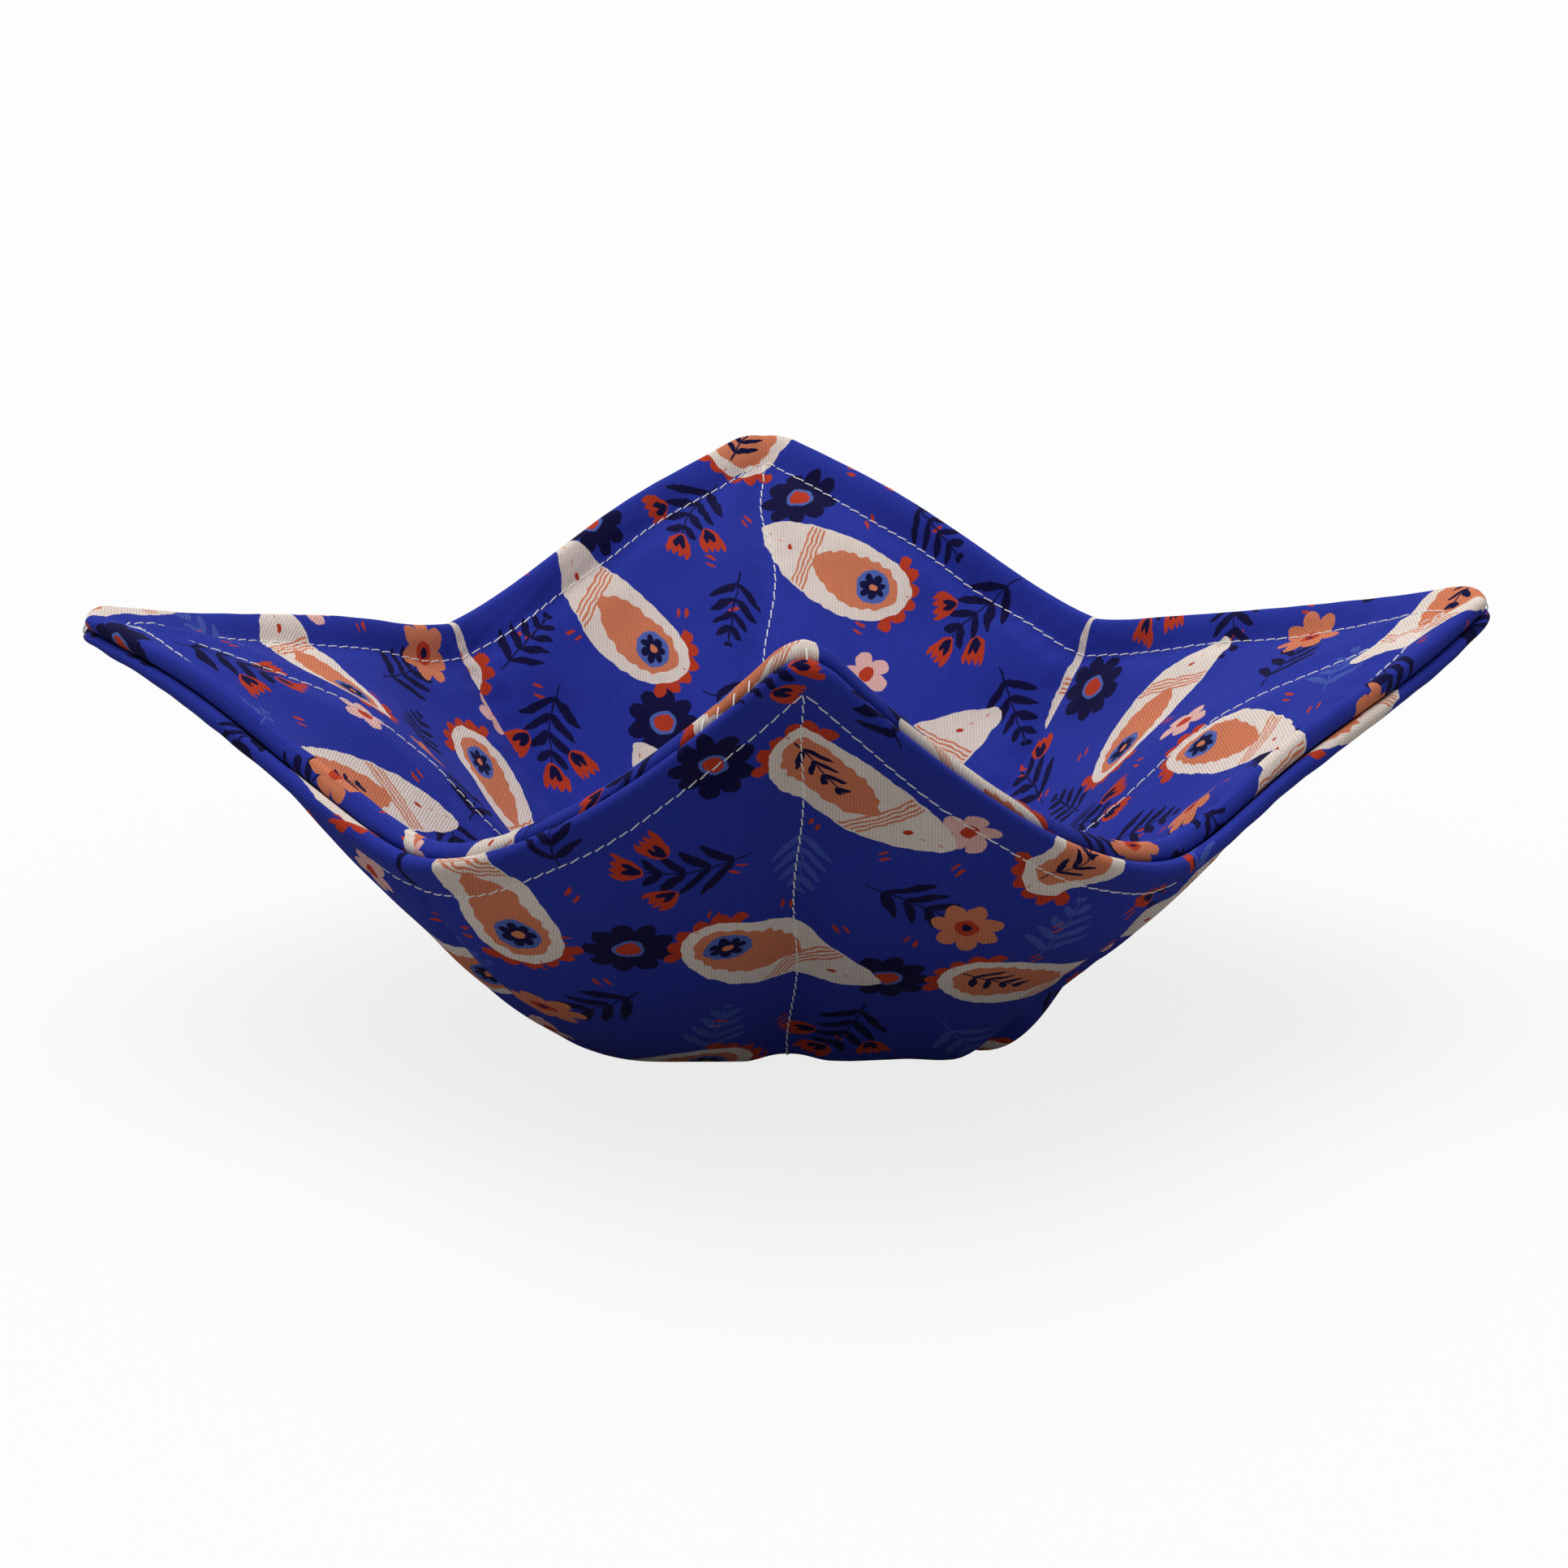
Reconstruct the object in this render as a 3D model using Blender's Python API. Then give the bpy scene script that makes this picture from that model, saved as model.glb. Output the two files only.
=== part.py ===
"""Quilted cozy: two padded cotton squares, darted at mid-side and joined round the rim.

Every point is first placed on the flat cloth, as a distance from the middle of the square and a
direction, and then carried up a profile that bends from the flat base into the wall. A distance on
the flat cloth stays the same distance along the wall, so the darts, the quilting and the topstitch
fall where they do on the sewn piece. The layers are stacked on both sides of the middle surface.
Azimuths run anticlockwise from +X, seen from above; +Z is up and -Y is the front.
"""

import math

import bmesh
import bpy
import numpy as np

# The cut cloth and its seams
CUT_SQUARE = 0.254
SEAM_ALLOWANCE = 0.00635
QUILTING_TAKE_UP = 0.0036
DART_WIDTH = 0.025
DART_LENGTH = 0.058
TIP_RADIUS = 0.010
TOPSTITCH_INSET = 0.008

# The layers on each side of the middle surface
CLOTH = 0.0005
BATTING = 0.002
LAYER_GAP = 0.0003
THREAD = 0.0004

# The valleys that the stitching pulls into the padding, and the batting that is left under it
BATTING_AT_QUILTING = 0.0007
QUILT_VALLEY_REACH = 0.008
BATTING_AT_TOPSTITCH = 0.0011
TOPSTITCH_VALLEY_REACH = 0.005
DART_VALLEY = 0.0006
DART_VALLEY_REACH = 0.006

# The rolled edge of each cover, and the run over which the batting climbs on to the allowance
BEAD_HEIGHT = 0.0026
BEAD_DEPTH = 0.0016
BATTING_STEP = 0.001

# The base and the bend out of it
BASE_HALF_WIDTH = 0.0365
BASE_SQUARENESS = 5.0
CORNER_BEND = 0.010
SIDE_BEND = 0.016

# The wall's angle above the table, low down and at the rim, at each corner and at each mid-side
CORNER_LEAN = {
    "front": (47.0, 59.0),
    "right": (57.0, 15.0),
    "back": (46.0, 25.0),
    "left": (65.0, 8.0),
}
SIDE_LEAN = {
    "front_right": (40.0, 48.0),
    "back_right": (42.0, 50.0),
    "back_left": (42.0, 50.0),
    "front_left": (32.0, 62.0),
}
RIDGE_SHARPNESS = 0.6
CORNER_AZIMUTH = {"right": 0.0, "back": 90.0, "left": 180.0, "front": 270.0}
CORNERS = list(CORNER_AZIMUTH)
SIDES = ["back_right", "back_left", "front_left", "front_right"]

# The mesh: directions from a corner to its mid-side, and distances out from the middle
DIRECTION_SHARES = [0.0, 0.03, 0.10, 0.28, 0.58, 0.86, 1.0]
CROSSING_RING = 0.007
FLAT_RING = 0.020
WALL_STEPS = 3
PLAIN_MARGIN = 0.006
EDGE_RING_INSET = 0.0042
PROFILE_STEPS = 400
BEAD_STEPS = 4
ANGLE_PASSES = 8
SMOOTH_ANGLE = math.radians(50)

# What follows from the sizes above
APOTHEM = CUT_SQUARE / 2 - SEAM_ALLOWANCE - QUILTING_TAKE_UP
DART_TIP = APOTHEM - DART_LENGTH
HALF_GAP = LAYER_GAP / 2
HALF_THICKNESS = HALF_GAP + BATTING + LAYER_GAP + CLOTH
ALLOWANCE_TOP = HALF_GAP + CLOTH
ALLOWANCE_END = BEAD_DEPTH + SEAM_ALLOWANCE
QUILT_VALLEY = BATTING - BATTING_AT_QUILTING
TOPSTITCH_VALLEY = BATTING - BATTING_AT_TOPSTITCH
CROSSING_STEP = (THREAD + LAYER_GAP) / 2
EIGHTH = math.pi / 4
OUTSIDE, INSIDE = -1.0, 1.0

COTTON_BLUE = (0.045, 0.052, 0.40, 1.0)
BATTING_WHITE = (0.86, 0.84, 0.78, 1.0)
THREAD_WHITE = (0.88, 0.87, 0.84, 1.0)


def ease(share):
    """0 at a corner, 1 at a mid-side, level at both; it rises sooner beside the corner's ridge."""
    return (1 - math.cos(math.pi * share ** RIDGE_SHARPNESS)) / 2


def dart_angle(radius):
    """Half of the wedge that the dart takes out of the cloth, as an angle at the middle."""
    opening = DART_WIDTH / 2 * max(0.0, radius - DART_TIP) / DART_LENGTH
    return math.atan2(opening, radius)


def flat_angle(share, radius):
    """Angle on the flat cloth between a direction and the square's nearest diagonal."""
    return share * (EIGHTH - dart_angle(radius))


def inset_radius(share, inset):
    """Distance from the middle to the line that runs a given inset inside the sewn edge."""
    radius = APOTHEM
    for _ in range(ANGLE_PASSES):
        angle = flat_angle(share, radius)
        radius = (APOTHEM - inset) / math.cos(EIGHTH - angle)
    rounding = TIP_RADIUS - inset
    if rounding > 0:
        centre = (APOTHEM - TIP_RADIUS) * math.sqrt(2)
        angle = flat_angle(share, radius)
        tangent = EIGHTH - math.atan2(APOTHEM - TIP_RADIUS, APOTHEM - inset)
        if angle < tangent:
            aside = centre * math.sin(angle)
            radius = centre * math.cos(angle) + math.sqrt(rounding ** 2 - aside ** 2)
    return radius


def base_radius(share):
    """Distance from the middle to the middle of the bend, round a square with soft corners."""
    angle = share * EIGHTH
    power = BASE_SQUARENESS
    return BASE_HALF_WIDTH / (math.cos(angle) ** power + math.sin(angle) ** power) ** (1 / power)


def bend_limits(share):
    """Distances from the middle at which the bend starts and ends."""
    bend = CORNER_BEND + (SIDE_BEND - CORNER_BEND) * ease(share)
    start = base_radius(share) - bend / 2
    return start, start + bend


class Column:
    """One vertical cut through the cozy, from the middle of the base to the rim."""

    def __init__(self, corner, side, share, azimuth):
        self.share = share
        self.azimuth = azimuth
        blend = ease(share)
        corner_low, corner_high = CORNER_LEAN[corner]
        side_low, side_high = SIDE_LEAN[side]
        low_slope = math.radians(corner_low + (side_low - corner_low) * blend)
        high_slope = math.radians(corner_high + (side_high - corner_high) * blend)
        self.bend_start, self.bend_end = bend_limits(share)
        self.edge = inset_radius(share, 0.0)
        self.seam = inset_radius(share, TOPSTITCH_INSET)
        self.radii = np.linspace(0.0, self.edge, PROFILE_STEPS)
        turn = np.clip((self.radii - self.bend_start) / (self.bend_end - self.bend_start), 0, 1)
        turn = turn * turn * (3 - 2 * turn)
        climb = np.clip((self.radii - self.bend_end) / (self.edge - self.bend_end), 0, 1)
        self.slopes = low_slope * turn + (high_slope - low_slope) * climb
        self.out = self.summed(np.cos(self.slopes))
        self.up = self.summed(np.sin(self.slopes))

    def summed(self, rate):
        """Running total of a rate along the profile."""
        steps = np.diff(self.radii) * (rate[1:] + rate[:-1]) / 2
        return np.concatenate([[0.0], np.cumsum(steps)])

    def point(self, radius, offset):
        """Point at a flat distance, set off from the middle surface; up and in is positive."""
        slope = float(np.interp(radius, self.radii, self.slopes))
        out = float(np.interp(radius, self.radii, self.out)) - offset * math.sin(slope)
        up = float(np.interp(radius, self.radii, self.up)) + offset * math.cos(slope)
        return (out * math.cos(self.azimuth), out * math.sin(self.azimuth), up)

    def half_thickness(self, radius):
        """Distance from the middle surface to the face of the cover, less in the valleys."""
        aside = radius * math.sin(flat_angle(self.share, radius))
        depths = [quilt_depth(self, radius) * hollow(aside, QUILT_VALLEY_REACH)]
        depths.append(TOPSTITCH_VALLEY * hollow(radius - self.seam, TOPSTITCH_VALLEY_REACH))
        if radius > DART_TIP:
            beside = radius * math.sin((1 - self.share) * (EIGHTH - dart_angle(radius)))
            depths.append(DART_VALLEY * hollow(beside, DART_VALLEY_REACH))
        return HALF_THICKNESS - max(depths)


def hollow(distance, reach):
    """Smooth valley of unit depth: 1 on its line, 0 past its reach."""
    return max(0.0, 1 - (distance / reach) ** 2) ** 2


def quilt_depth(column, radius):
    """Depth of the valley on a quilting line, deeper where two cross and fading at the rim."""
    plain_end = column.seam - PLAIN_MARGIN
    if radius > column.seam:
        border = column.edge - BEAD_DEPTH - column.seam
        return TOPSTITCH_VALLEY * max(0.0, 1 - (radius - column.seam) / border)
    if radius > plain_end:
        part = (radius - plain_end) / PLAIN_MARGIN
        return QUILT_VALLEY + (TOPSTITCH_VALLEY - QUILT_VALLEY) * part
    return QUILT_VALLEY + CROSSING_STEP * max(0.0, 1 - radius / CROSSING_RING)


def make_columns():
    """All the vertical cuts in order round the cozy, each corner and mid-side once."""
    columns = []
    for index, corner in enumerate(CORNERS):
        azimuth = math.radians(CORNER_AZIMUTH[corner])
        ahead = SIDES[index]
        behind = SIDES[index - 1]
        for share in reversed(DIRECTION_SHARES[1:-1]):
            columns.append(Column(corner, behind, share, azimuth - share * EIGHTH))
        for share in DIRECTION_SHARES:
            columns.append(Column(corner, ahead, share, azimuth + share * EIGHTH))
    return columns


COLUMNS = make_columns()
PER_CORNER = len(COLUMNS) // len(CORNERS)
CORNER_PLACE = len(DIRECTION_SHARES) - 2


def body_rings():
    """For each column, the flat distances of the rings from the middle out to the border."""
    rings = []
    for column in COLUMNS:
        wall_foot = column.bend_end + max(0.0, DART_TIP - column.bend_end) * ease(column.share)
        wall_head = column.seam - PLAIN_MARGIN
        middle_bend = (column.bend_start + column.bend_end) / 2
        radii = [CROSSING_RING, FLAT_RING, column.bend_start, middle_bend]
        radii += [wall_foot + (wall_head - wall_foot) * step / WALL_STEPS for step in range(WALL_STEPS + 1)]
        radii += [column.seam, inset_radius(column.share, EDGE_RING_INSET)]
        rings.append(radii)
    return rings


BODY = body_rings()
WALL_FOOT = 4
WALL_HEAD = WALL_FOOT + WALL_STEPS
SEAM_RING = WALL_HEAD + 1
EDGE_RING = SEAM_RING + 1


def ring(place):
    """Points of one ring, from a function of the column's number that gives radius and offset."""
    return [COLUMNS[number].point(*place(number)) for number in range(len(COLUMNS))]


def face_ring(level, side, below=0.0):
    """A ring of the cover's face, or of a surface that lies a given depth under it."""
    def place(number):
        radius = BODY[number][level]
        return radius, side * (COLUMNS[number].half_thickness(radius) - below)
    return ring(place)


def inset_ring(inset, offset):
    """A ring at one inset from the edge and one offset from the middle surface."""
    def place(number):
        return inset_radius(COLUMNS[number].share, inset), offset
    return ring(place)


def bead_rings(side, shrink, steps):
    """Rings round the rolled edge, from the cover's face to the middle surface."""
    centre = (BEAD_HEIGHT + HALF_GAP) / 2
    across = (BEAD_HEIGHT - HALF_GAP) / 2 - shrink
    along = BEAD_DEPTH - shrink
    rings = []
    for step in range(steps + 1):
        angle = math.pi * step / steps
        inset = BEAD_DEPTH - along * math.sin(angle)
        rings.append(inset_ring(inset, side * (centre + across * math.cos(angle))))
    return rings


def reach(points):
    """How far out along the cloth a ring lies, on average."""
    return sum(math.hypot(point[0], point[1]) + point[2] for point in points)


def solid_from_rings(name, first_pole, rings, last_pole, material):
    """Closed body of triangles, from one pole out along a face and back in to the other pole.

    Faces that lie over each other are split along the same diagonal, so that thin gaps stay open.
    """
    outward = [reach(upper) > reach(lower) for lower, upper in zip(rings[:-1], rings[1:])]
    mesh = bpy.data.meshes.new(name)
    shell = bmesh.new()
    start = shell.verts.new(first_pole)
    rows = [[shell.verts.new(point) for point in points] for points in rings]
    end = shell.verts.new(last_pole)
    for here in range(len(COLUMNS)):
        after = (here + 1) % len(COLUMNS)
        shell.faces.new((start, rows[0][here], rows[0][after]))
        shell.faces.new((end, rows[-1][after], rows[-1][here]))
        towards_corner = after % PER_CORNER <= CORNER_PLACE
        for lower, upper, going_out in zip(rows[:-1], rows[1:], outward):
            a, b, c, d = lower[here], lower[after], upper[after], upper[here]
            if towards_corner == going_out:
                shell.faces.new((a, c, b))
                shell.faces.new((a, d, c))
            else:
                shell.faces.new((a, d, b))
                shell.faces.new((b, d, c))
    bmesh.ops.recalc_face_normals(shell, faces=shell.faces)
    shell.to_mesh(mesh)
    shell.free()
    mesh.shade_smooth()
    mesh.set_sharp_from_angle(angle=SMOOTH_ANGLE)
    mesh.materials.append(material)
    return add_object(name, mesh)


def add_object(name, data):
    """Object under the cozy's own empty."""
    item = bpy.data.objects.new(name, data)
    bpy.context.scene.collection.objects.link(item)
    item.parent = bpy.data.objects["cozy"]
    return item


def principled(name, colour, roughness):
    """Material with one Principled shader."""
    material = bpy.data.materials.new(name)
    material.use_nodes = True
    shader = material.node_tree.nodes["Principled BSDF"]
    shader.inputs["Base Color"].default_value = colour
    shader.inputs["Roughness"].default_value = roughness
    shader.inputs["Metallic"].default_value = 0.0
    material.diffuse_color = colour
    return material


def crossing_thickness():
    """Distance from the middle surface to the cover's face where the quilting lines cross."""
    return HALF_THICKNESS - QUILT_VALLEY - CROSSING_STEP


def build_cover(name, side, material):
    """One cotton cover: its face, the roll at the rim, the turned-in allowance and its inner side."""
    levels = range(EDGE_RING + 1)
    rings = [face_ring(level, side) for level in levels]
    rings += bead_rings(side, 0.0, BEAD_STEPS)
    rings.append(inset_ring(ALLOWANCE_END, side * HALF_GAP))
    rings += [inset_ring(inset, side * ALLOWANCE_TOP) for inset in (ALLOWANCE_END, EDGE_RING_INSET)]
    rings += reversed(bead_rings(side, CLOTH, BEAD_STEPS // 2))
    rings += reversed([face_ring(level, side, CLOTH) for level in levels])
    face_pole = COLUMNS[0].point(0.0, side * crossing_thickness())
    inner_pole = COLUMNS[0].point(0.0, side * (crossing_thickness() - CLOTH))
    return solid_from_rings(name, face_pole, rings, inner_pole, material)


def batting_ring(level, side):
    """A ring of the batting's outer side, let in along the darts for their thread."""
    def place(number):
        radius = BODY[number][level]
        column = COLUMNS[number]
        below = CLOTH + LAYER_GAP
        if column.share == 1.0 and WALL_FOOT <= level <= WALL_HEAD:
            below += THREAD + LAYER_GAP
        return radius, side * (column.half_thickness(radius) - below)
    return ring(place)


def back_ring(level, side):
    """A ring of the batting's back, beside the middle surface."""
    return ring(lambda number: (BODY[number][level], side * HALF_GAP))


def build_batting(name, side, material):
    """One layer of batting, from the middle surface to just under its cover, short of the rim."""
    over_allowance = side * (ALLOWANCE_TOP + LAYER_GAP)
    past_allowance = ALLOWANCE_END + LAYER_GAP
    rings = [batting_ring(level, side) for level in range(EDGE_RING + 1)]
    rings += [inset_ring(inset, over_allowance) for inset in (EDGE_RING_INSET, past_allowance)]
    rings.append(inset_ring(past_allowance + BATTING_STEP, side * HALF_GAP))
    rings += reversed([back_ring(level, side) for level in range(WALL_HEAD + 1)])
    outer_pole = COLUMNS[0].point(0.0, side * (crossing_thickness() - CLOTH - LAYER_GAP))
    inner_pole = COLUMNS[0].point(0.0, side * HALF_GAP)
    return solid_from_rings(name, outer_pole, rings, inner_pole, material)


def build_thread(name, points, material, closed=False):
    """A run of thread along given points."""
    curve = bpy.data.curves.new(name, "CURVE")
    curve.dimensions = "3D"
    curve.bevel_depth = THREAD / 2
    curve.bevel_resolution = 0
    curve.use_fill_caps = True
    run = curve.splines.new("POLY")
    run.points.add(len(points) - 1)
    for slot, point in zip(run.points, points):
        slot.co = (*point, 1.0)
    run.use_cyclic_u = closed
    curve.materials.append(material)
    return add_object(name, curve)


def thread_point(number, level, side):
    """Where a thread lies on the cover's face at one ring of one column."""
    column = COLUMNS[number]
    radius = BODY[number][level]
    return column.point(radius, side * (column.half_thickness(radius) + LAYER_GAP + THREAD / 2))


def corner_number(corner):
    """The column that runs up the middle of a corner."""
    return CORNERS.index(corner) * PER_CORNER + CORNER_PLACE


def quilting_arm(corner, side):
    """Points of a quilting line from beside the middle up to the topstitch at one corner."""
    number = corner_number(corner)
    points = [thread_point(number, level, side) for level in range(WALL_HEAD + 1)]
    at_seam = np.array(thread_point(number, SEAM_RING, side))
    below_seam = np.array(points[-1])
    stop = 1 - (THREAD + LAYER_GAP) / PLAIN_MARGIN
    points.append(tuple(below_seam + (at_seam - below_seam) * stop))
    return points


def build_quilting(prefix, side, material):
    """The two lines of a cover's quilting, corner to corner; one passes over the other."""
    lay = crossing_thickness() + CROSSING_STEP + LAYER_GAP + THREAD / 2
    for name, pair, step in (("front_back", ("front", "back"), CROSSING_STEP),
                             ("left_right", ("left", "right"), -CROSSING_STEP)):
        middle = COLUMNS[0].point(0.0, side * (lay + step))
        first = quilting_arm(pair[0], side)
        second = quilting_arm(pair[1], side)
        points = list(reversed(first)) + [middle] + second
        build_thread(f"{prefix}_quilting_thread_{name}", points, material)


def build_topstitch(name, side, material):
    """The topstitch that runs right round, inside the rolled edge."""
    points = [thread_point(number, SEAM_RING, side) for number in range(len(COLUMNS))]
    build_thread(name, points, material, closed=True)


def build_dart_threads(prefix, side, material):
    """The hidden thread of each dart, between the cover and the batting."""
    for index, dart in enumerate(SIDES):
        number = (index + 1) * PER_CORNER - 1
        column = COLUMNS[number]
        points = []
        for level in range(WALL_FOOT, WALL_HEAD + 1):
            radius = BODY[number][level]
            under = CLOTH + LAYER_GAP + THREAD / 2
            points.append(column.point(radius, side * (column.half_thickness(radius) - under)))
        build_thread(f"{prefix}_dart_thread_{dart}", points, material)


def build_edge_thread(material):
    """The hidden thread of the seam that joins the covers, inside the outer cover's roll."""
    offset = OUTSIDE * (ALLOWANCE_TOP + LAYER_GAP + THREAD / 2)
    build_thread("edge_seam_thread", inset_ring(BEAD_DEPTH, offset), material, closed=True)


def build_cozy():
    """All the pieces under one empty, which stands the cozy on z = 0 and centres it."""
    for item in list(bpy.data.objects):
        bpy.data.objects.remove(item, do_unlink=True)
    cozy = bpy.data.objects.new("cozy", None)
    bpy.context.scene.collection.objects.link(cozy)

    outer_cotton = principled("outer_cotton", COTTON_BLUE, 0.85)
    lining_cotton = principled("lining_cotton", COTTON_BLUE, 0.85)
    batting = principled("cotton_batting", BATTING_WHITE, 0.95)
    thread = principled("sewing_thread", THREAD_WHITE, 0.6)

    outer = build_cover("outer_cover", OUTSIDE, outer_cotton)
    lining = build_cover("lining", INSIDE, lining_cotton)
    build_batting("outer_batting", OUTSIDE, batting)
    build_batting("lining_batting", INSIDE, batting)
    for prefix, side in (("outer", OUTSIDE), ("lining", INSIDE)):
        build_quilting(prefix, side, thread)
        build_topstitch(f"{prefix}_topstitch_thread", side, thread)
        build_dart_threads(prefix, side, thread)
    build_edge_thread(thread)

    corners = np.array([vertex.co for item in (outer, lining) for vertex in item.data.vertices])
    low, high = corners.min(axis=0), corners.max(axis=0)
    cozy.location = (-(low[0] + high[0]) / 2, -(low[1] + high[1]) / 2, -low[2])


build_cozy()
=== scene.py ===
"""Quilted cozy: two printed cotton covers over their batting, and every stitch that holds them.

The cozy is worked out as it is sewn. A place starts on the flat cloth, as a distance from the middle
of the square and a direction, and is carried up a profile that bends from the flat base into the
wall. Both covers, their batting and all the seams stand off that one surface, so a stitch lies in
its own valley, and the print runs over the cloth as it was cut and stops at the dart seams.
"""

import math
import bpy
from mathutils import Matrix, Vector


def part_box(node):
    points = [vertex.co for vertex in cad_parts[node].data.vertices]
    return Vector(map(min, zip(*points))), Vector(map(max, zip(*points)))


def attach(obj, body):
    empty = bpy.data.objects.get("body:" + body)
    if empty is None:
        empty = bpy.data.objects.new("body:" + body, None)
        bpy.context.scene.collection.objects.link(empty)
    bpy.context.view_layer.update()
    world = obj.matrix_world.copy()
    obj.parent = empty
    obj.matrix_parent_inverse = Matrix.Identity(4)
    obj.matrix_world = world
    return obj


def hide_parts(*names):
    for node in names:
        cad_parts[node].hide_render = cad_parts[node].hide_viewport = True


bl_info = {
    "name": "Quilted cozy",
    "version": (1, 0, 0),
    "blender": (4, 5, 0),
    "location": "3D View > Sidebar > Cozy",
    "description": "Sews a quilted cozy of printed cotton, with its batting, stitches and a studio",
    "category": "Object",
}

import bpy
import numpy as np
from bpy.props import FloatProperty, FloatVectorProperty, IntProperty, PointerProperty
from bpy.types import Operator, Panel, PropertyGroup
from mathutils import Vector

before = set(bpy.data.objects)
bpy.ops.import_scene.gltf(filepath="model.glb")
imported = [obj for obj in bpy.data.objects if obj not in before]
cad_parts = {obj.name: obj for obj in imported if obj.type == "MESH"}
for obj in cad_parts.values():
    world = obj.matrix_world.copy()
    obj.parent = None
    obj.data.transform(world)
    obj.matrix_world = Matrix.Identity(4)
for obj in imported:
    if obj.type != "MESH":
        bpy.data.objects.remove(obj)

# Corners and darts, anticlockwise from +X as seen from above; the front is -Y
CORNERS = ("right", "back", "left", "front")
DARTS = ("back_right", "back_left", "front_left", "front_right")
OUTSIDE, INSIDE = -1.0, 1.0
SIDES = {"outer": OUTSIDE, "lining": INSIDE}
EIGHTH = math.pi / 4
FULL_TURN = 2 * math.pi
MM = 0.001

# How finely the surfaces are worked out
PROFILE_STEPS = 300
ANGLE_PASSES = 8
COVER_DIRECTIONS = 80
COVER_ROWS = (14, 12, 50, 12)
COVER_INNER_STEP = 4
BATTING_DIRECTIONS = 44
BATTING_ROWS = (6, 8, 22, 3)
BEAD_ROWS = 10
MIDDLE_RING = 0.0025

# Valleys along the seams: how far each reaches, and the batting that is left under the thread
QUILT_REACH = 0.008
QUILT_LEFT = 0.0007
TOPSTITCH_REACH = 0.005
TOPSTITCH_LEFT = 0.0011
DART_REACH = 0.006
DART_DEPTH = 0.0006
CREASE_REACH = 0.0022
CREASE_DEPTH = 0.00035
CROSSING_RING = 0.007
PLAIN_MARGIN = 0.006

# The base's outline, the roll at the rim, the directions' crowding at corners and darts, and where
# the batting stops short of the rim
BASE_SQUARENESS = 5.0
BEAD_DEPTH = 0.0016
CROWDING = 0.45
EDGE_INSET = 0.0042
BATTING_STEP = 0.001

# How a corner's edges hang or lift: corner, place along and across its quilting line, reach and drop
DROOPS = (
    ("left", 0.1344, -0.0311, 0.042, 0.0050),
    ("left", 0.1400, 0.0255, 0.034, -0.0014),
    ("right", 0.1335, 0.0320, 0.046, 0.0052),
)

# Bulges beside the darts: cover, dart, turn from the corner, distances from the dart and from the
# rim, height, and half the width across and along
FOLDS = (
    (INSIDE, "front_right", 1, 0.016, 0.016, 0.0022, 0.016, 0.020),
    (INSIDE, "front_right", -1, 0.011, 0.012, 0.0030, 0.012, 0.016),
    (INSIDE, "front_right", -1, 0.030, 0.024, 0.0018, 0.012, 0.030),
    (INSIDE, "front_left", 1, 0.013, 0.010, 0.0026, 0.013, 0.012),
    (INSIDE, "front_left", -1, 0.018, 0.012, 0.0016, 0.014, 0.014),
    (INSIDE, "back_right", -1, 0.014, 0.014, 0.0018, 0.014, 0.016),
    (INSIDE, "back_left", 1, 0.014, 0.014, 0.0018, 0.014, 0.018),
    (OUTSIDE, "front_right", 1, 0.012, 0.020, 0.0008, 0.011, 0.016),
    (OUTSIDE, "front_left", -1, 0.012, 0.018, 0.0008, 0.011, 0.016),
    (OUTSIDE, "front_right", -1, 0.006, 0.066, 0.0030, 0.014, 0.014),
    (OUTSIDE, "front_right", 1, 0.006, 0.066, 0.0020, 0.014, 0.014),
    (OUTSIDE, "front_left", 1, 0.010, 0.062, 0.0006, 0.018, 0.016),
)

# How far each seam holds the cloth flat, and over what distance a relief fades in
QUILT_HOLD = 0.012
TOPSTITCH_HOLD = 0.009
DART_HOLD = 0.006
FADE = 0.012

# Wave lengths of the wandering wall, of the ripples and of the roll at the rim, the height at which
# the wall wanders fully, the roll's two shares of unevenness, and which draws each cover takes
SWAY_WAVE = 0.085
SWAY_FULL_HEIGHT = 0.045
LONG_RIPPLE = 0.030
SHORT_RIPPLE = 0.013
LONG_ROLL_WAVE = 0.04
SHORT_ROLL_WAVE = 0.009
ROLL_UNEVENNESS = (0.00022, 0.00008)
RELIEF_SEEDS = {OUTSIDE: 10, INSIDE: 20}

# How a cover climbs on to its roll: where the tips count, the climb's power, the relief that stays
# on the way up, and the cloth that goes round the roll; and where a bulge starts beside its dart
TIP_SHARE = 0.35
ROLL_CLIMB = 1.2
RELIEF_ON_ROLL = 0.8
ROUND_THE_ROLL = 0.004
FOLD_START = 0.005

# Puckers: steps up the wall and along the rim, how the steps drift, and their stand-off and reach
PUCKER_UP_WALL = 0.0074
PUCKER_ALONG_RIM = 0.0082
PUCKER_DRIFT = 0.035
PUCKER_BESIDE = (0.003, 0.0045)
PUCKER_BESIDE_RIM = (0.0028, 0.0042)

# Rows of stitches: where the quilting starts and stops short, the steps of the guiding points, how
# the rows stray from straight, and how each stitch lies
QUILTING_START = 0.003
QUILTING_SHORT = 0.0008
QUILTING_STEP = 0.001
DART_STEP = 0.002
DART_LET_IN = 0.004
TOPSTITCH_WOBBLE = 0.00022
STRAY_SHARES = {OUTSIDE: 0.7, INSIDE: 1.8}
STRAY_START = 0.03
STRAY_END = 0.02
STRAY_WAVE = 0.052
STITCH_RISE = 0.00008
STITCH_DIVE = 0.00035
STITCH_UNEVENNESS = 0.16

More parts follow.
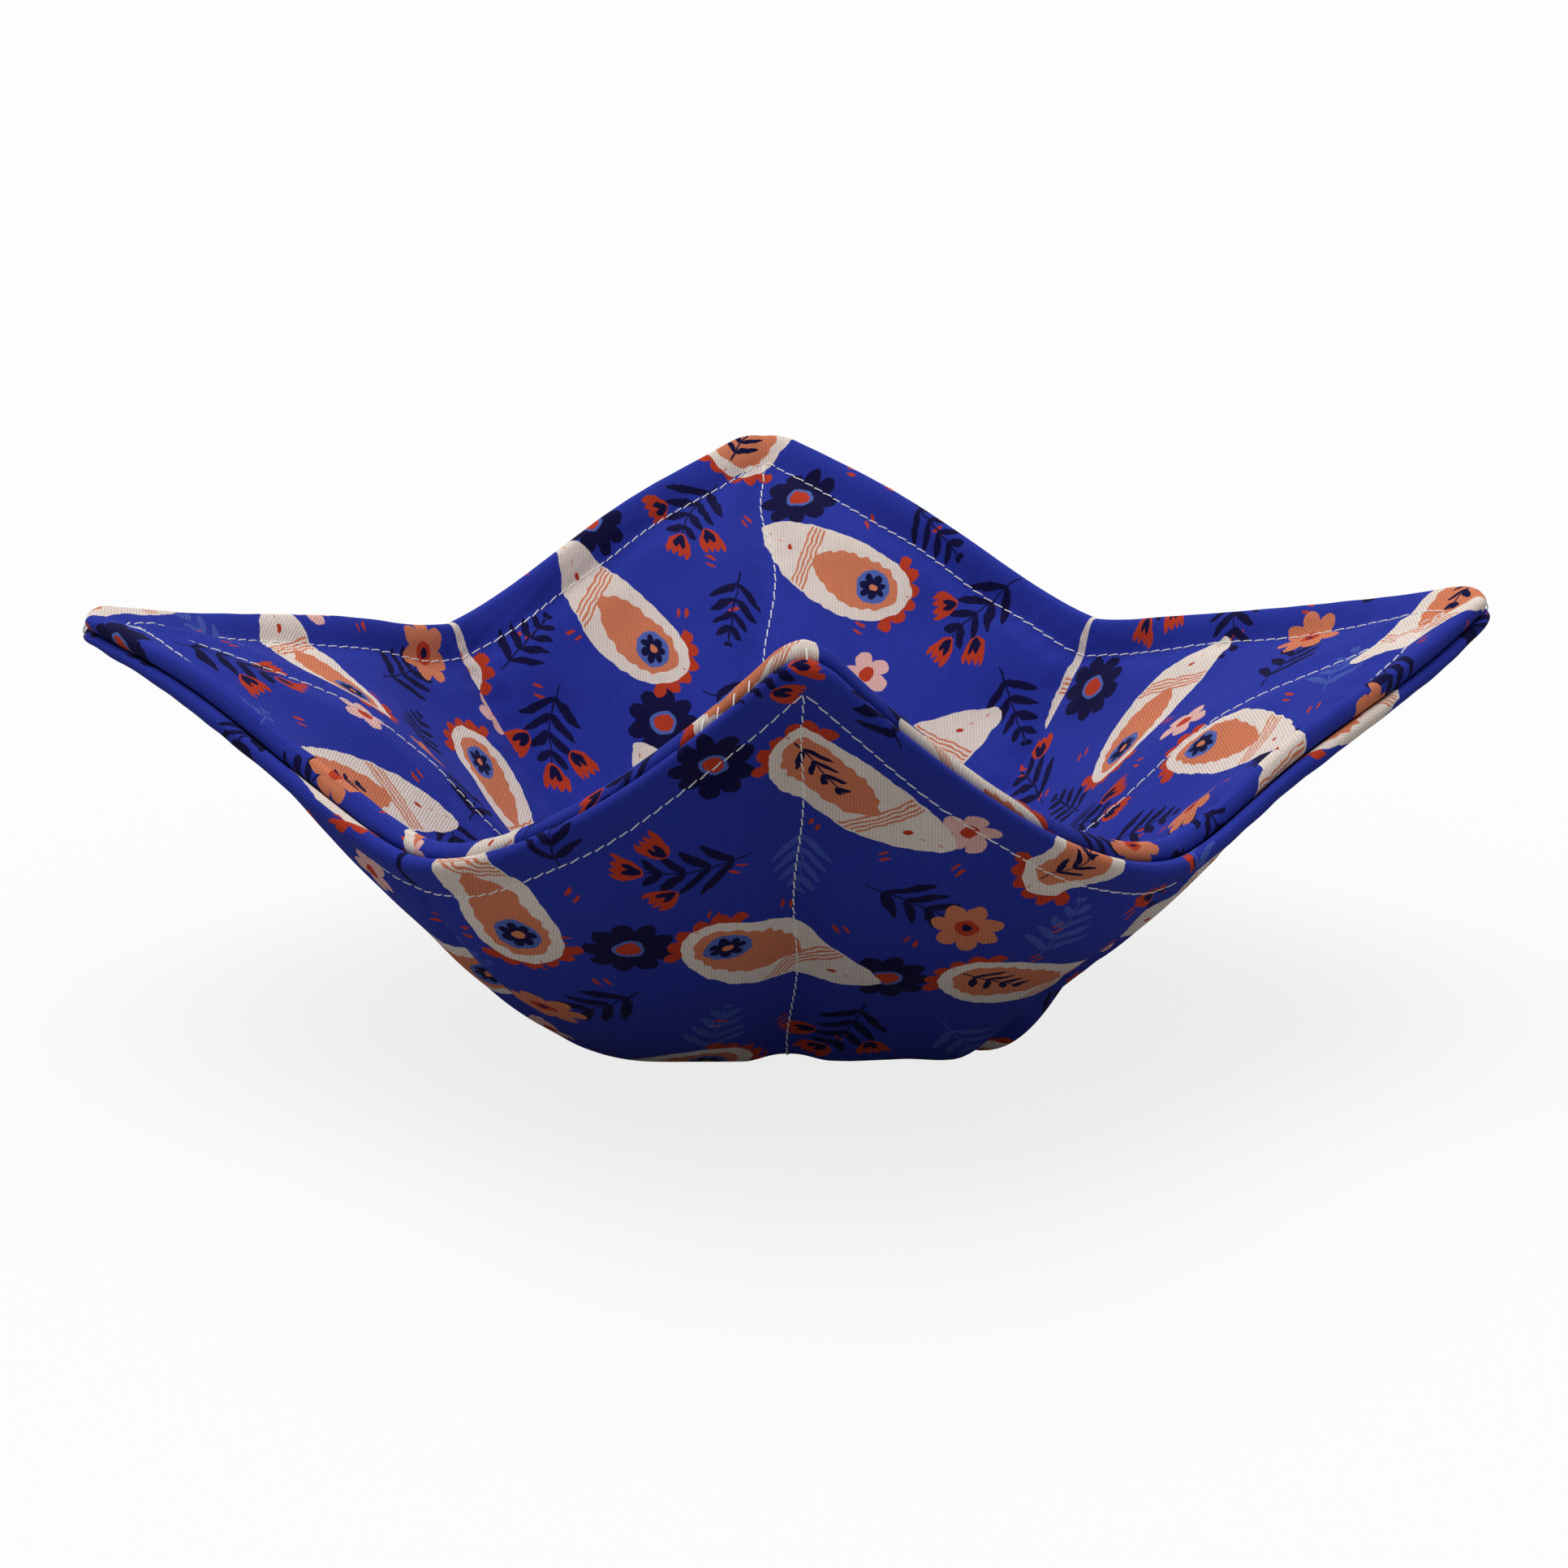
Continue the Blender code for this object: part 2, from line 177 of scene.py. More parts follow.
# Hand stitches over the rim: name, corner, turn from it and shares of the way to the dart
HAND_STITCHES = (
    ("front_tack", "front", 1.0, (0.004,)),
    ("closing_stitch", "front", -1.0, (0.105, 0.135, 0.168, 0.2)),
    ("left_tack", "left", 1.0, (0.010, 0.022, 0.036)),
    ("right_tack", "right", 1.0, (0.006, 0.020)),
)
HAND_POINTS = 11
HAND_SPREAD = 0.8
HAND_REACH = 0.0016
HAND_PROUD = 0.00012
HAND_RADIUS_SHARE = 0.42

# The print: soft outline of each shape and how far it strays, in millimetres, and the print's turn
PRINT_EDGE = 0.16
PRINT_STRAY = 1.2
PRINT_TURN = math.radians(17)

# Studio: which way the overhead light shines, half the floor's width, the picture's small shift as
# shares of its width, and the camera's sensor in millimetres
KEY_HEADING = (0.14, -0.20, -1.0)
FLOOR_HALF = 4.0
FRAME_SHIFT = (0.0008, 0.0036)
SENSOR_WIDTH = 36.0


def length(name, text, default):
    """A size in metres for a property group."""
    return FloatProperty(name=name, description=text, default=default, unit="LENGTH", precision=5)


def angles(name, text, degrees):
    """Four angles, one for each corner or dart."""
    turns = tuple(math.radians(angle) for angle in degrees)
    return FloatVectorProperty(name=name, description=text, default=turns, size=4, unit="ROTATION")


def rotation(name, text, degrees):
    """One angle for a property group."""
    return FloatProperty(name=name, description=text, default=math.radians(degrees), unit="ROTATION")


def factor(name, text, default, low=0.0, high=1.0):
    """A share for a property group."""
    return FloatProperty(name=name, description=text, default=default, min=low, max=high, subtype="FACTOR")


def colour(name, text, default):
    """A linear colour for a property group."""
    return FloatVectorProperty(name=name, description=text, default=default, size=3,
                               min=0.0, max=1.0, subtype="COLOR")


class CozyPattern(PropertyGroup):
    """How the squares are cut, and how the cozy stands."""

    cut_square: length("Cut square", "Side of each cut cotton square", 0.254)
    seam_allowance: length("Seam allowance", "Cloth turned in at the rim", 0.00635)
    take_up: length("Take-up", "What the quilting takes from each half side", 0.0036)
    dart_width: length("Dart width", "Width of a dart at the rim", 0.025)
    dart_length: length("Dart length", "Length of a dart from the rim", 0.058)
    tip_radius: length("Tip radius", "Rounding of each corner", 0.010)
    topstitch_inset: length("Topstitch inset", "From the rim to the topstitch", 0.008)
    base_half: length("Base half width", "From the middle of the base to its bend", 0.0365)
    corner_bend: length("Bend at a corner", "Run of the bend below a corner", 0.010)
    side_bend: length("Bend at a dart", "Run of the bend below a dart", 0.016)
    corner_low: angles("Lean under the corners", "Wall low down at each corner", (57.0, 46.0, 65.0, 47.0))
    corner_high: angles("Lean at the tips", "Wall at the tip of each corner", (15.0, 25.0, 8.0, 59.0))
    dart_low: angles("Lean under the darts", "Wall low down at each dart", (42.0, 42.0, 32.0, 40.0))
    dart_high: angles("Lean at the dart rims", "Wall at the rim of each dart", (50.0, 50.0, 62.0, 48.0))
    ridge: FloatProperty(name="Ridge sharpness", default=0.6, min=0.3, max=1.0,
                         description="Power of the turn from a corner to a dart")


class CozyLayers(PropertyGroup):
    """Thicknesses of the layers, and how softly they lie."""

    cloth: length("Cloth", "Thickness of the cotton", 0.0005)
    batting: length("Batting", "Thickness of one layer of batting", 0.002)
    gap: length("Layer gap", "Air between two layers", 0.0003)
    outer_roll: length("Outer roll", "Height of the outer cover's roll at the rim", 0.0032)
    lining_roll: length("Lining roll", "Height of the lining's roll at the rim", 0.0042)
    loft: length("Loft", "How far the padding rises between the seams", 0.0004)
    ripple: length("Ripple", "Height of the soft ripples in the cloth", 0.00028)
    pucker: length("Pucker", "Height of the puckers beside a seam", 0.00016)
    thin_tips: factor("Thin tips", "Share of the roll that the left and right tips lack", 0.28, high=0.3)
    sway: length("Sway", "How far the whole wall wanders", 0.0011)
    seed: IntProperty(name="Seed", description="Which ripples the cloth has", default=7)


class CozyStitching(PropertyGroup):
    """The thread and the steps it is sewn in."""

    thread: length("Thread", "Diameter of the thread", 0.00030)
    topstitch_pitch: length("Topstitch pitch", "Step of the topstitch", 0.0029)
    quilting_pitch: length("Quilting pitch", "Step of the quilting", 0.0026)
    hidden_pitch: length("Hidden pitch", "Step of the hidden seams", 0.0025)
    filled: factor("Filled", "Share of a step that the thread shows", 0.95, low=0.1)
    slant: rotation("Slant", "Turn of a stitch against its seam", 6.0)
    wander: length("Wander", "How far the quilting strays from straight", 0.0009)
    seed: IntProperty(name="Seed", description="Which stitches are uneven", default=3)


class CozyPrint(PropertyGroup):
    """Colours and spacing of the printed cotton."""

    ground: colour("Ground", "Cobalt ground of the print", (0.023, 0.038, 0.36))
    cream: colour("Cream", "Large drops", (0.83, 0.72, 0.64))
    orange: colour("Orange", "Inside the drops", (0.68, 0.21, 0.105))
    red: colour("Red", "Buds, fringes and ticks", (0.52, 0.045, 0.016))
    navy: colour("Navy", "Sprigs and daisies", (0.005, 0.004, 0.048))
    pink: colour("Pink", "Small blossoms", (0.80, 0.46, 0.42))
    pale_blue: colour("Pale blue", "Faint sprigs and rounds", (0.085, 0.14, 0.46))
    repeat: length("Repeat", "Spacing of the large drops", 0.050)
    warp_pitch: length("Warp pitch", "Spacing of the ribs in the weave", 0.00062)
    weft_pitch: length("Weft pitch", "Spacing of the crossing threads", 0.00042)


class CozyStudio(PropertyGroup):
    """The camera, the lights and the floor."""

    distance: length("Camera distance", "From the aim point to the camera", 0.85)
    aim_height: length("Aim height", "Height of the aim point over the table", 0.042)
    elevation: rotation("Elevation", "Camera's height as an angle", 18.3)
    azimuth: rotation("Azimuth", "Camera's turn round the cozy, to its left", 1.83)
    lens: FloatProperty(name="Lens", description="Focal length", default=101.6, unit="CAMERA")
    key: FloatProperty(name="Key", description="Strength of the wide soft light overhead", default=2.3)
    key_spread: rotation("Key spread", "Width of that light as an angle", 70.0)
    daylight: FloatProperty(name="Daylight", description="Strength of the light all round", default=0.32)
    floor: colour("Floor", "Pale floor", (0.97, 0.97, 0.97))
    glow: factor("Floor glow", "Share of the floor's white that shadows don't dim", 0.84)
    bounce: colour("Bounce", "What the floor throws back on the cozy", (0.33, 0.33, 0.33))


def hollow(distance, reach):
    """Smooth valley of unit depth: 1 on its line, 0 past its reach."""
    return np.clip(1 - (distance / reach) ** 2, 0, None) ** 2


def smooth(share):
    """0 to 1, level at both ends."""
    share = np.clip(share, 0, 1)
    return share * share * (3 - 2 * share)


def waves(points, wavelength, seed):
    """Smooth random relief over points in space, mostly between -1 and 1."""
    draw = np.random.default_rng(seed)
    total = np.zeros(points.shape[:-1])
    count = 9
    for _ in range(count):
        heading = draw.normal(size=3)
        heading *= FULL_TURN / wavelength * draw.uniform(0.7, 1.3) / np.linalg.norm(heading)
        total += np.cos(points @ heading + draw.uniform(0, FULL_TURN))
    return total / math.sqrt(count)


class Surface:
    """The cozy's middle surface in a row of directions, and the covers' faces over it.

    A direction is a corner, a turn (1 anticlockwise, -1 clockwise) and a share of the way from that
    corner to the dart beside it. A radius is a distance on the flat cloth from the square's middle.
    """

    def __init__(self, corner, turn, share):
        scene = bpy.context.scene
        self.pattern, self.layers = scene.cozy_pattern, scene.cozy_layers
        self.stitching = scene.cozy_stitching
        pattern, layers = self.pattern, self.layers
        self.corner = np.asarray(corner)
        self.turn = np.asarray(turn, float)
        self.share = np.asarray(share, float)
        self.dart = np.where(self.turn > 0, self.corner, (self.corner - 1) % len(CORNERS))
        self.azimuth = self.corner * 2 * EIGHTH + self.turn * self.share * EIGHTH
        self.apothem = pattern.cut_square / 2 - pattern.seam_allowance - pattern.take_up
        self.dart_tip = self.apothem - pattern.dart_length
        self.half_gap = layers.gap / 2
        self.half = self.half_gap + layers.batting + layers.gap + layers.cloth
        self.edge = self.inset(0.0)
        wobble = TOPSTITCH_WOBBLE * np.sin(self.azimuth * 23 + 1.3)
        self.seam = self.inset(pattern.topstitch_inset + wobble)
        self.bead_start = self.inset(BEAD_DEPTH)
        self.tabulate()

    def tabulate(self):
        """Slope, reach and height of the middle surface at even steps from the middle to the rim."""
        pattern = self.pattern
        blend = (1 - np.cos(math.pi * self.share ** pattern.ridge)) / 2
        corner_low = np.array(pattern.corner_low)[self.corner]
        corner_high = np.array(pattern.corner_high)[self.corner]
        low = corner_low + (np.array(pattern.dart_low)[self.dart] - corner_low) * blend
        high = corner_high + (np.array(pattern.dart_high)[self.dart] - corner_high) * blend
        angle = self.share * EIGHTH
        power = BASE_SQUARENESS
        base = pattern.base_half / (np.cos(angle) ** power + np.sin(angle) ** power) ** (1 / power)
        bend = pattern.corner_bend + (pattern.side_bend - pattern.corner_bend) * blend
        self.bend_start = base - bend / 2
        self.bend_end = base + bend / 2
        radii = np.linspace(0, 1, PROFILE_STEPS)[:, None] * self.edge
        climb = np.clip((radii - self.bend_end) / (self.edge - self.bend_end), 0, 1)
        self.slopes = low * smooth((radii - self.bend_start) / bend) + (high - low) * climb
        step = self.edge / (PROFILE_STEPS - 1)
        self.outs = self.summed(np.cos(self.slopes), step)
        self.ups = self.summed(np.sin(self.slopes), step)

    @staticmethod
    def summed(rate, step):
        """Running total of a rate along each profile."""
        total = np.cumsum((rate[1:] + rate[:-1]) / 2 * step, axis=0)
        return np.concatenate([np.zeros((1, rate.shape[1])), total])

    def look_up(self, table, radius):
        """A tabulated value at a radius in each direction."""
        place = np.clip(radius / self.edge, 0, 1) * (PROFILE_STEPS - 1)
        low = np.minimum(place.astype(int), PROFILE_STEPS - 2)
        part = place - low
        column = np.arange(self.share.size)
        return table[low, column] * (1 - part) + table[low + 1, column] * part

    def dart_angle(self, radius):
        """Half of the wedge that a dart takes out, as an angle at the middle of the square."""
        pattern = self.pattern
        opening = pattern.dart_width / 2 * np.clip(radius - self.dart_tip, 0, None) / pattern.dart_length
        return np.arctan2(opening, radius)

    def flat_angle(self, radius):
        """Angle on the flat cloth between a direction and its corner."""
        return self.share * (EIGHTH - self.dart_angle(radius))

    def inset(self, inset):
        """Radius of the line that runs a given inset inside the sewn edge, rounded at the corner."""
        tip = self.pattern.tip_radius
        radius = np.full(self.share.shape, self.apothem)
        for _ in range(ANGLE_PASSES):
            radius = (self.apothem - inset) / np.cos(EIGHTH - self.flat_angle(radius))
        rounding = np.clip(tip - inset, 0, None)
        centre = (self.apothem - tip) * math.sqrt(2)
        angle = self.flat_angle(radius)
        tangent = EIGHTH - np.arctan2(self.apothem - tip, self.apothem - inset)
        level = np.clip(rounding ** 2 - (centre * np.sin(angle)) ** 2, 0, None)
        rounded = centre * np.cos(angle) + np.sqrt(level)
        return np.where((rounding > 0) & (angle < tangent), rounded, radius)

    def stacked(self, out, up):
        """Points from reaches and heights in each direction."""
        return np.stack([out * np.cos(self.azimuth), out * np.sin(self.azimuth), up], axis=-1)

    def middle(self, radius):
        """Points of the plain middle surface."""
        return self.stacked(self.look_up(self.outs, radius), self.look_up(self.ups, radius))

    def place(self, radius, offset):
        """Points in the frame, at offsets from the middle surface; in and up is positive."""
        slope = self.look_up(self.slopes, radius)
        beyond = np.clip(radius - self.edge, 0, None)
        out = self.look_up(self.outs, radius) + beyond * np.cos(slope)
        up = self.look_up(self.ups, radius) + beyond * np.sin(slope)
        sway = self.layers.sway * smooth(up / SWAY_FULL_HEIGHT)
        lift = offset + sway * waves(self.middle(radius), SWAY_WAVE, self.layers.seed)
        lift = lift - self.droop(radius)
        return self.stacked(out - lift * np.sin(slope), up + lift * np.cos(slope)) + cozy_middle()

    def droop(self, radius):
        """How far the edges beside a corner's tip hang."""
        angle = self.flat_angle(radius)
        along, across = radius * np.cos(angle), radius * np.sin(angle) * self.turn
        total = 0.0
        for corner, place_along, place_across, reach, drop in DROOPS:
            here = hollow(np.hypot(along - place_along, across - place_across), reach)
            total = total + drop * (self.corner == CORNERS.index(corner)) * here
        return total

    def normal(self, radius, side):
        """Direction straight out of a cover's face."""
        slope = self.look_up(self.slopes, radius)
        return side * self.stacked(-np.sin(slope), np.cos(slope))

    def strays(self, side, radius):
        """How far the quilting line beside each corner strays to its anticlockwise side."""
        fade = smooth(radius / STRAY_START) * smooth((self.seam - radius) / STRAY_END)
        phase = self.corner * 2.1 + side * 0.8
        amount = self.stitching.wander * STRAY_SHARES[side]
        return amount * fade * np.sin(FULL_TURN * radius / STRAY_WAVE + phase)

    def beside_quilting(self, side, radius):
        """Distance on the cloth from the quilting line."""
        return np.abs(radius * np.sin(self.flat_angle(radius)) * self.turn - self.strays(side, radius))

    def beside_dart(self, radius):
        """Distance on the cloth from the dart seam."""
        return radius * np.sin((1 - self.share) * (EIGHTH - self.dart_angle(radius)))

    def past_seam(self, radius):
        """Distance on the cloth from the topstitch, positive towards the rim."""
        return (radius - self.seam) * np.cos(EIGHTH - self.flat_angle(radius))

    def face(self, side, radius):
        """Height of a cover's face over the middle surface."""
        layers = self.layers
        points = self.middle(radius)
        quilting = self.beside_quilting(side, radius)
        dart = self.beside_dart(radius)
        from_seam = self.past_seam(radius)
        on_dart = smooth((radius - self.dart_tip) / FADE)

        topstitch_depth = layers.batting - TOPSTITCH_LEFT
        quilt_depth = layers.batting - QUILT_LEFT + self.crossing_step() * near_crossing(radius)
        near_seam = np.clip((radius - self.seam + PLAIN_MARGIN) / PLAIN_MARGIN, 0, 1)
        quilt_depth = quilt_depth + (topstitch_depth - quilt_depth) * near_seam
        dart_depth = DART_DEPTH * hollow(dart, DART_REACH) + CREASE_DEPTH * hollow(dart, CREASE_REACH)
        height = self.half - np.maximum.reduce([
            quilt_depth * hollow(quilting, QUILT_REACH),
            topstitch_depth * hollow(from_seam, TOPSTITCH_REACH),
            on_dart * dart_depth,
        ])

        held = np.maximum.reduce([
            hollow(quilting, QUILT_HOLD),
            hollow(from_seam, TOPSTITCH_HOLD),
            hollow(dart, DART_HOLD) * on_dart,
        ])
        seed = layers.seed + RELIEF_SEEDS[side]
        ripple = waves(points, LONG_RIPPLE, seed) + 0.35 * waves(points, SHORT_RIPPLE, seed + 1)
        standing = 1.0 if side == INSIDE else smooth((radius - self.bend_start) / FADE)
        height = height + (1 - held) * standing * (layers.loft + layers.ripple * ripple)
        height = height + self.puckers(points, quilting, from_seam, dart, on_dart, seed)
        height = height + self.folds(side, radius, dart)
        if side == OUTSIDE:
            over_table = self.look_up(self.ups, radius) + self.half
            height = np.minimum(height, over_table / np.cos(self.look_up(self.slopes, radius)))
        return self.with_roll(side, radius, height)

    def crossing_step(self):
        """Half of the height by which one quilting thread passes over the other."""
        return (self.stitching.thread + self.layers.gap) / 2

    def puckers(self, points, quilting, from_seam, dart, on_dart, seed):
        """Small ridges that run away from each seam, where the stitches gather the cloth."""
        radial = np.linalg.norm(points, axis=-1)
        around = self.azimuth * radial
        uneven = 2.2 * waves(points, PUCKER_DRIFT, seed + 2)
        up_wall = np.cos(FULL_TURN * radial / PUCKER_UP_WALL + uneven)
        along_rim = np.cos(FULL_TURN * around / PUCKER_ALONG_RIM + uneven)
        off, reach = PUCKER_BESIDE
        off_rim, rim_reach = PUCKER_BESIDE_RIM
        ridges = up_wall * hollow(quilting - off, reach)
        ridges = ridges + along_rim * hollow(np.abs(from_seam) - off_rim, rim_reach)
        ridges = ridges + 0.9 * on_dart * up_wall * hollow(dart - off, reach)
        off_table = smooth((radial - self.pattern.base_half * 0.8) / FADE)
        return self.layers.pucker * ridges * off_table

    def folds(self, side, radius, dart):
        """Bulges where a cover is too full beside a dart, each on one side of its seam."""
        inset = (self.edge - radius) * np.cos(EIGHTH - self.flat_angle(radius))
        total = np.zeros(np.shape(radius))
        for face, name, turn, beside, down, height, wide, deep in FOLDS:
            if face == side:
                here = (self.dart == DARTS.index(name)) & (self.turn == turn)
                shape = hollow(dart - beside, wide) * hollow(inset - down, deep)
                total = total + np.where(here, height * shape * smooth(dart / FOLD_START), 0.0)
        return total

    def with_roll(self, side, radius, height):
        """Past the topstitch the face climbs on to the roll, and is level where the roll turns in."""
        depth = self.layers.batting - TOPSTITCH_LEFT
        low = self.half - depth
        part = np.clip((radius - self.seam) / (self.bead_start - self.seam), 0, 1)
        roll = low + (self.roll_height(side) - low) * np.sin(part * math.pi / 2) ** ROLL_CLIMB
        relief = height - (self.half - depth * hollow(self.past_seam(radius), TOPSTITCH_REACH))
        relief = relief * (1 - smooth(part)) * RELIEF_ON_ROLL
        return np.where(radius > self.seam, roll + relief, height)

    def roll_height(self, side):
        """Height of the rolled edge over the middle surface: uneven, and thin at the wings' tips."""
        layers = self.layers
        mean = layers.lining_roll if side == INSIDE else layers.outer_roll
        on_wing = np.isin(self.corner, [CORNERS.index("left"), CORNERS.index("right")])
        mean = mean * (1 - layers.thin_tips * on_wing * hollow(self.share, TIP_SHARE))
        points = self.middle(self.edge)
        long, short = ROLL_UNEVENNESS
        mean = mean + long * waves(points, LONG_ROLL_WAVE, layers.seed + 5)
        return mean + short * waves(points, SHORT_ROLL_WAVE, layers.seed + 6)

    def rows(self, counts):
        """Radii of the rings from the middle to where the roll starts, closest in the bends."""
        middle_ring = np.full(self.share.shape, MIDDLE_RING)
        stops = [middle_ring, self.bend_start, self.bend_end, self.seam, self.bead_start]
        bands = [np.linspace(inner, outer, count, endpoint=False)
                 for inner, outer, count in zip(stops[:-1], stops[1:], counts)]
        return np.concatenate(bands + [self.bead_start[None, :]])


def near_crossing(radius):
    """1 where the quilting lines cross, falling to 0 at a small ring round that place."""
    return np.clip(1 - radius / CROSSING_RING, 0, 1)


def cozy_middle():
    """The middle of the squares: where the quilting threads cross, half a thickness up."""
    layers = bpy.context.scene.cozy_layers
    half = layers.gap * 1.5 + layers.batting + layers.cloth
    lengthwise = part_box("outer_quilting_thread_front_back")
    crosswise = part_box("outer_quilting_thread_left_right")
    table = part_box("outer_cover")[0].z
    x = (lengthwise[0].x + lengthwise[1].x) / 2
    y = (crosswise[0].y + crosswise[1].y) / 2
    return np.array([x, y, table + half])


def all_round(per_half):
    """A surface with directions all the way round, closest at the corners and at the darts."""
    steps = np.linspace(0, 1, per_half + 1)
    shares = steps - CROWDING * np.sin(FULL_TURN * steps) / FULL_TURN
    behind = shares[1:-1][::-1]
    share = np.tile(np.concatenate([behind, shares]), len(CORNERS))
    turn = np.tile(np.concatenate([-np.ones(behind.size), np.ones(shares.size)]), len(CORNERS))
    corner = np.repeat(np.arange(len(CORNERS)), behind.size + shares.size)
    return Surface(corner, turn, share)


def one_direction(count, corner, turn, share):
    """A surface with all its columns in one direction, for points along it."""
    return Surface(*(np.full(count, value) for value in (corner, turn, share)))


def bead(surface, side, shrink, rows):
    """Radii and offsets round the rolled edge, from the cover's face to the middle surface."""
    height = surface.roll_height(side)
    centre = (height + surface.half_gap) / 2
    across = (height - surface.half_gap) / 2 - shrink
    rings = []
    for step in range(rows + 1):
        angle = math.pi * step / rows
        inset = BEAD_DEPTH - (BEAD_DEPTH - shrink) * math.sin(angle)
        rings.append((surface.inset(inset), centre + across * math.cos(angle)))
    return rings


def closed_shell(name, surface, rings, poles, side, material):
    """Closed mesh from rings of radii and offsets, with the cut cloth's own coordinates as UVs."""
    radius = np.array([ring[0] for ring in rings])
    offset = side * np.array([ring[1] for ring in rings])
    points = surface.place(radius, offset)
    ends = [surface.place(np.zeros(surface.share.size), np.full(surface.share.size, side * pole))[0]
            for pole in poles]
    rows, columns = radius.shape
    vertices = np.concatenate([points.reshape(-1, 3), np.array(ends)])
    first, last = rows * columns, rows * columns + 1

    here = np.arange(columns)
    after = (here + 1) % columns
    start = np.arange(rows - 1)[:, None] * columns
    quads = np.stack([start + here, start + columns + here, start + columns + after, start + after], axis=-1)
    quads = quads.reshape(-1, 4)
    bottom = np.stack([np.full(columns, first), here, after], axis=-1)
    rim = (rows - 1) * columns
    top = np.stack([np.full(columns, last), rim + after, rim + here], axis=-1)
    if side == OUTSIDE:
        quads, bottom, top = quads[:, ::-1], bottom[:, ::-1], top[:, ::-1]
    mesh = bpy.data.meshes.new(name)
    mesh.from_pydata(vertices.tolist(), [], quads.tolist() + bottom.tolist() + top.tolist())

    middle = np.full((2, 2), 0.5)
    start_places, end_places = (np.concatenate([places.reshape(-1, 2), middle])
                                for places in cloth_places(surface, radius, offset))
    corners = np.concatenate([quads.ravel(), bottom.ravel(), top.ravel()])
    at_end = np.concatenate([end_marks(faces, columns) for faces in (quads, bottom, top)])
    layout = mesh.uv_layers.new(name="cloth")
    cloth = np.where(at_end[:, None], end_places[corners], start_places[corners])
    layout.data.foreach_set("uv", cloth.ravel())

    mesh.materials.append(material)
    mesh.shade_smooth()
    return add_object(name, mesh)


def end_marks(faces, columns):
    """True for each face corner that lies at the anticlockwise end of its face."""
    column = faces % columns
    lowest = column.min(axis=1, keepdims=True)
    wraps = (column.max(axis=1, keepdims=True) - lowest) > 1
    return np.where(wraps, column == lowest, column != lowest).ravel()


def cloth_places(surface, radius, offset):
    """Places on the cut cloth for the start and the end of each face, which differ at a dart."""
    reach = bpy.context.scene.cozy_pattern.cut_square * math.sqrt(2)
    steps = np.hypot(np.diff(radius, axis=0), np.diff(offset, axis=0))
    walked = np.concatenate([radius[:1], np.cumsum(steps, axis=0) + radius[0]])
    turned_in = np.minimum(walked, radius.max(axis=0) * 2 - radius + ROUND_THE_ROLL)
    before_rim = np.arange(len(radius)) < radius.max(axis=1).argmax()
    run = np.where(before_rim[:, None], radius, turned_in)
    places = []
    for at_start in (True, False):
        crosses = (surface.share == 1.0) & (surface.turn > 0) & at_start
        corner = np.where(crosses, surface.corner + 1, surface.corner)
        turn = np.where(crosses, -1.0, surface.turn)
        angle = corner * 2 * EIGHTH + turn * surface.flat_angle(radius)
        places.append(np.stack([run * np.cos(angle), run * np.sin(angle)], axis=-1) / reach + 0.5)
    return places


def add_object(name, data):
    """Object in the scene, at the origin, with its place in its mesh."""
    item = bpy.data.objects.new(name, data)
    bpy.context.scene.collection.objects.link(item)
    return item


def register_piece(piece, nodes):
    """The piece rides on the cozy's one body, and stands for its nodes in the frame."""
    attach(piece, "root")
    if nodes:
        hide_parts(*nodes)
    return piece


def middle_height(surface, extra):
    """Height of the cover's face where the quilting lines cross, less what lies over the layer."""
    depth = surface.layers.batting - QUILT_LEFT + surface.crossing_step()
    return surface.half - depth - extra


def build_cover(name, side, material):
    """One cotton cover: its face, the roll at the rim, the turned-in allowance and its inner side."""
    surface = all_round(COVER_DIRECTIONS)
    layers, pattern = surface.layers, surface.pattern
    rows = surface.rows(COVER_ROWS)
    height = surface.face(side, rows)
    rings = list(zip(rows[:-1], height[:-1]))
    rings += bead(surface, side, 0.0, BEAD_ROWS)
    end = surface.inset(BEAD_DEPTH + pattern.seam_allowance)
    gap = np.full(end.shape, surface.half_gap)
    rings += [(end, gap), (end, gap + layers.cloth)]
    rings += list(reversed(bead(surface, side, layers.cloth, BEAD_ROWS // 2)))
    inner = list(range(len(rows) - 2, 0, -COVER_INNER_STEP))
    rings += [(rows[index], height[index] - layers.cloth) for index in inner]
    poles = (middle_height(surface, 0.0), middle_height(surface, layers.cloth))
    return closed_shell(name, surface, rings, poles, side, material)


def build_batting(name, side, material):
    """One layer of batting, from the middle surface to just under its cover, short of the rim."""
    surface = all_round(BATTING_DIRECTIONS)
    layers, pattern = surface.layers, surface.pattern
    rows = surface.rows(BATTING_ROWS)
    stop = surface.inset(EDGE_INSET)
    under = layers.cloth + layers.gap
    let_in = (surface.stitching.thread + layers.gap) * hollow(surface.beside_dart(rows), DART_LET_IN)
    let_in = let_in * (rows > surface.dart_tip) * (rows < surface.seam)
    height = surface.face(side, rows) - under - let_in
    rings = [(row, level) for row, level in zip(rows, height) if (row < stop).all()]
    rings.append((stop, surface.face(side, stop) - under))
    over = np.full(stop.shape, surface.half_gap + layers.cloth + layers.gap)
    past = BEAD_DEPTH + pattern.seam_allowance + layers.gap
    rings += [(stop, over), (surface.inset(past), over)]
    back = np.full(stop.shape, surface.half_gap)
    rings.append((surface.inset(past + BATTING_STEP), back))
    rings += [(row, back) for row in reversed(rows) if (row < surface.inset(past + 2 * BATTING_STEP)).all()]
    poles = (middle_height(surface, under), surface.half_gap)
    return closed_shell(name, surface, rings, poles, side, material)


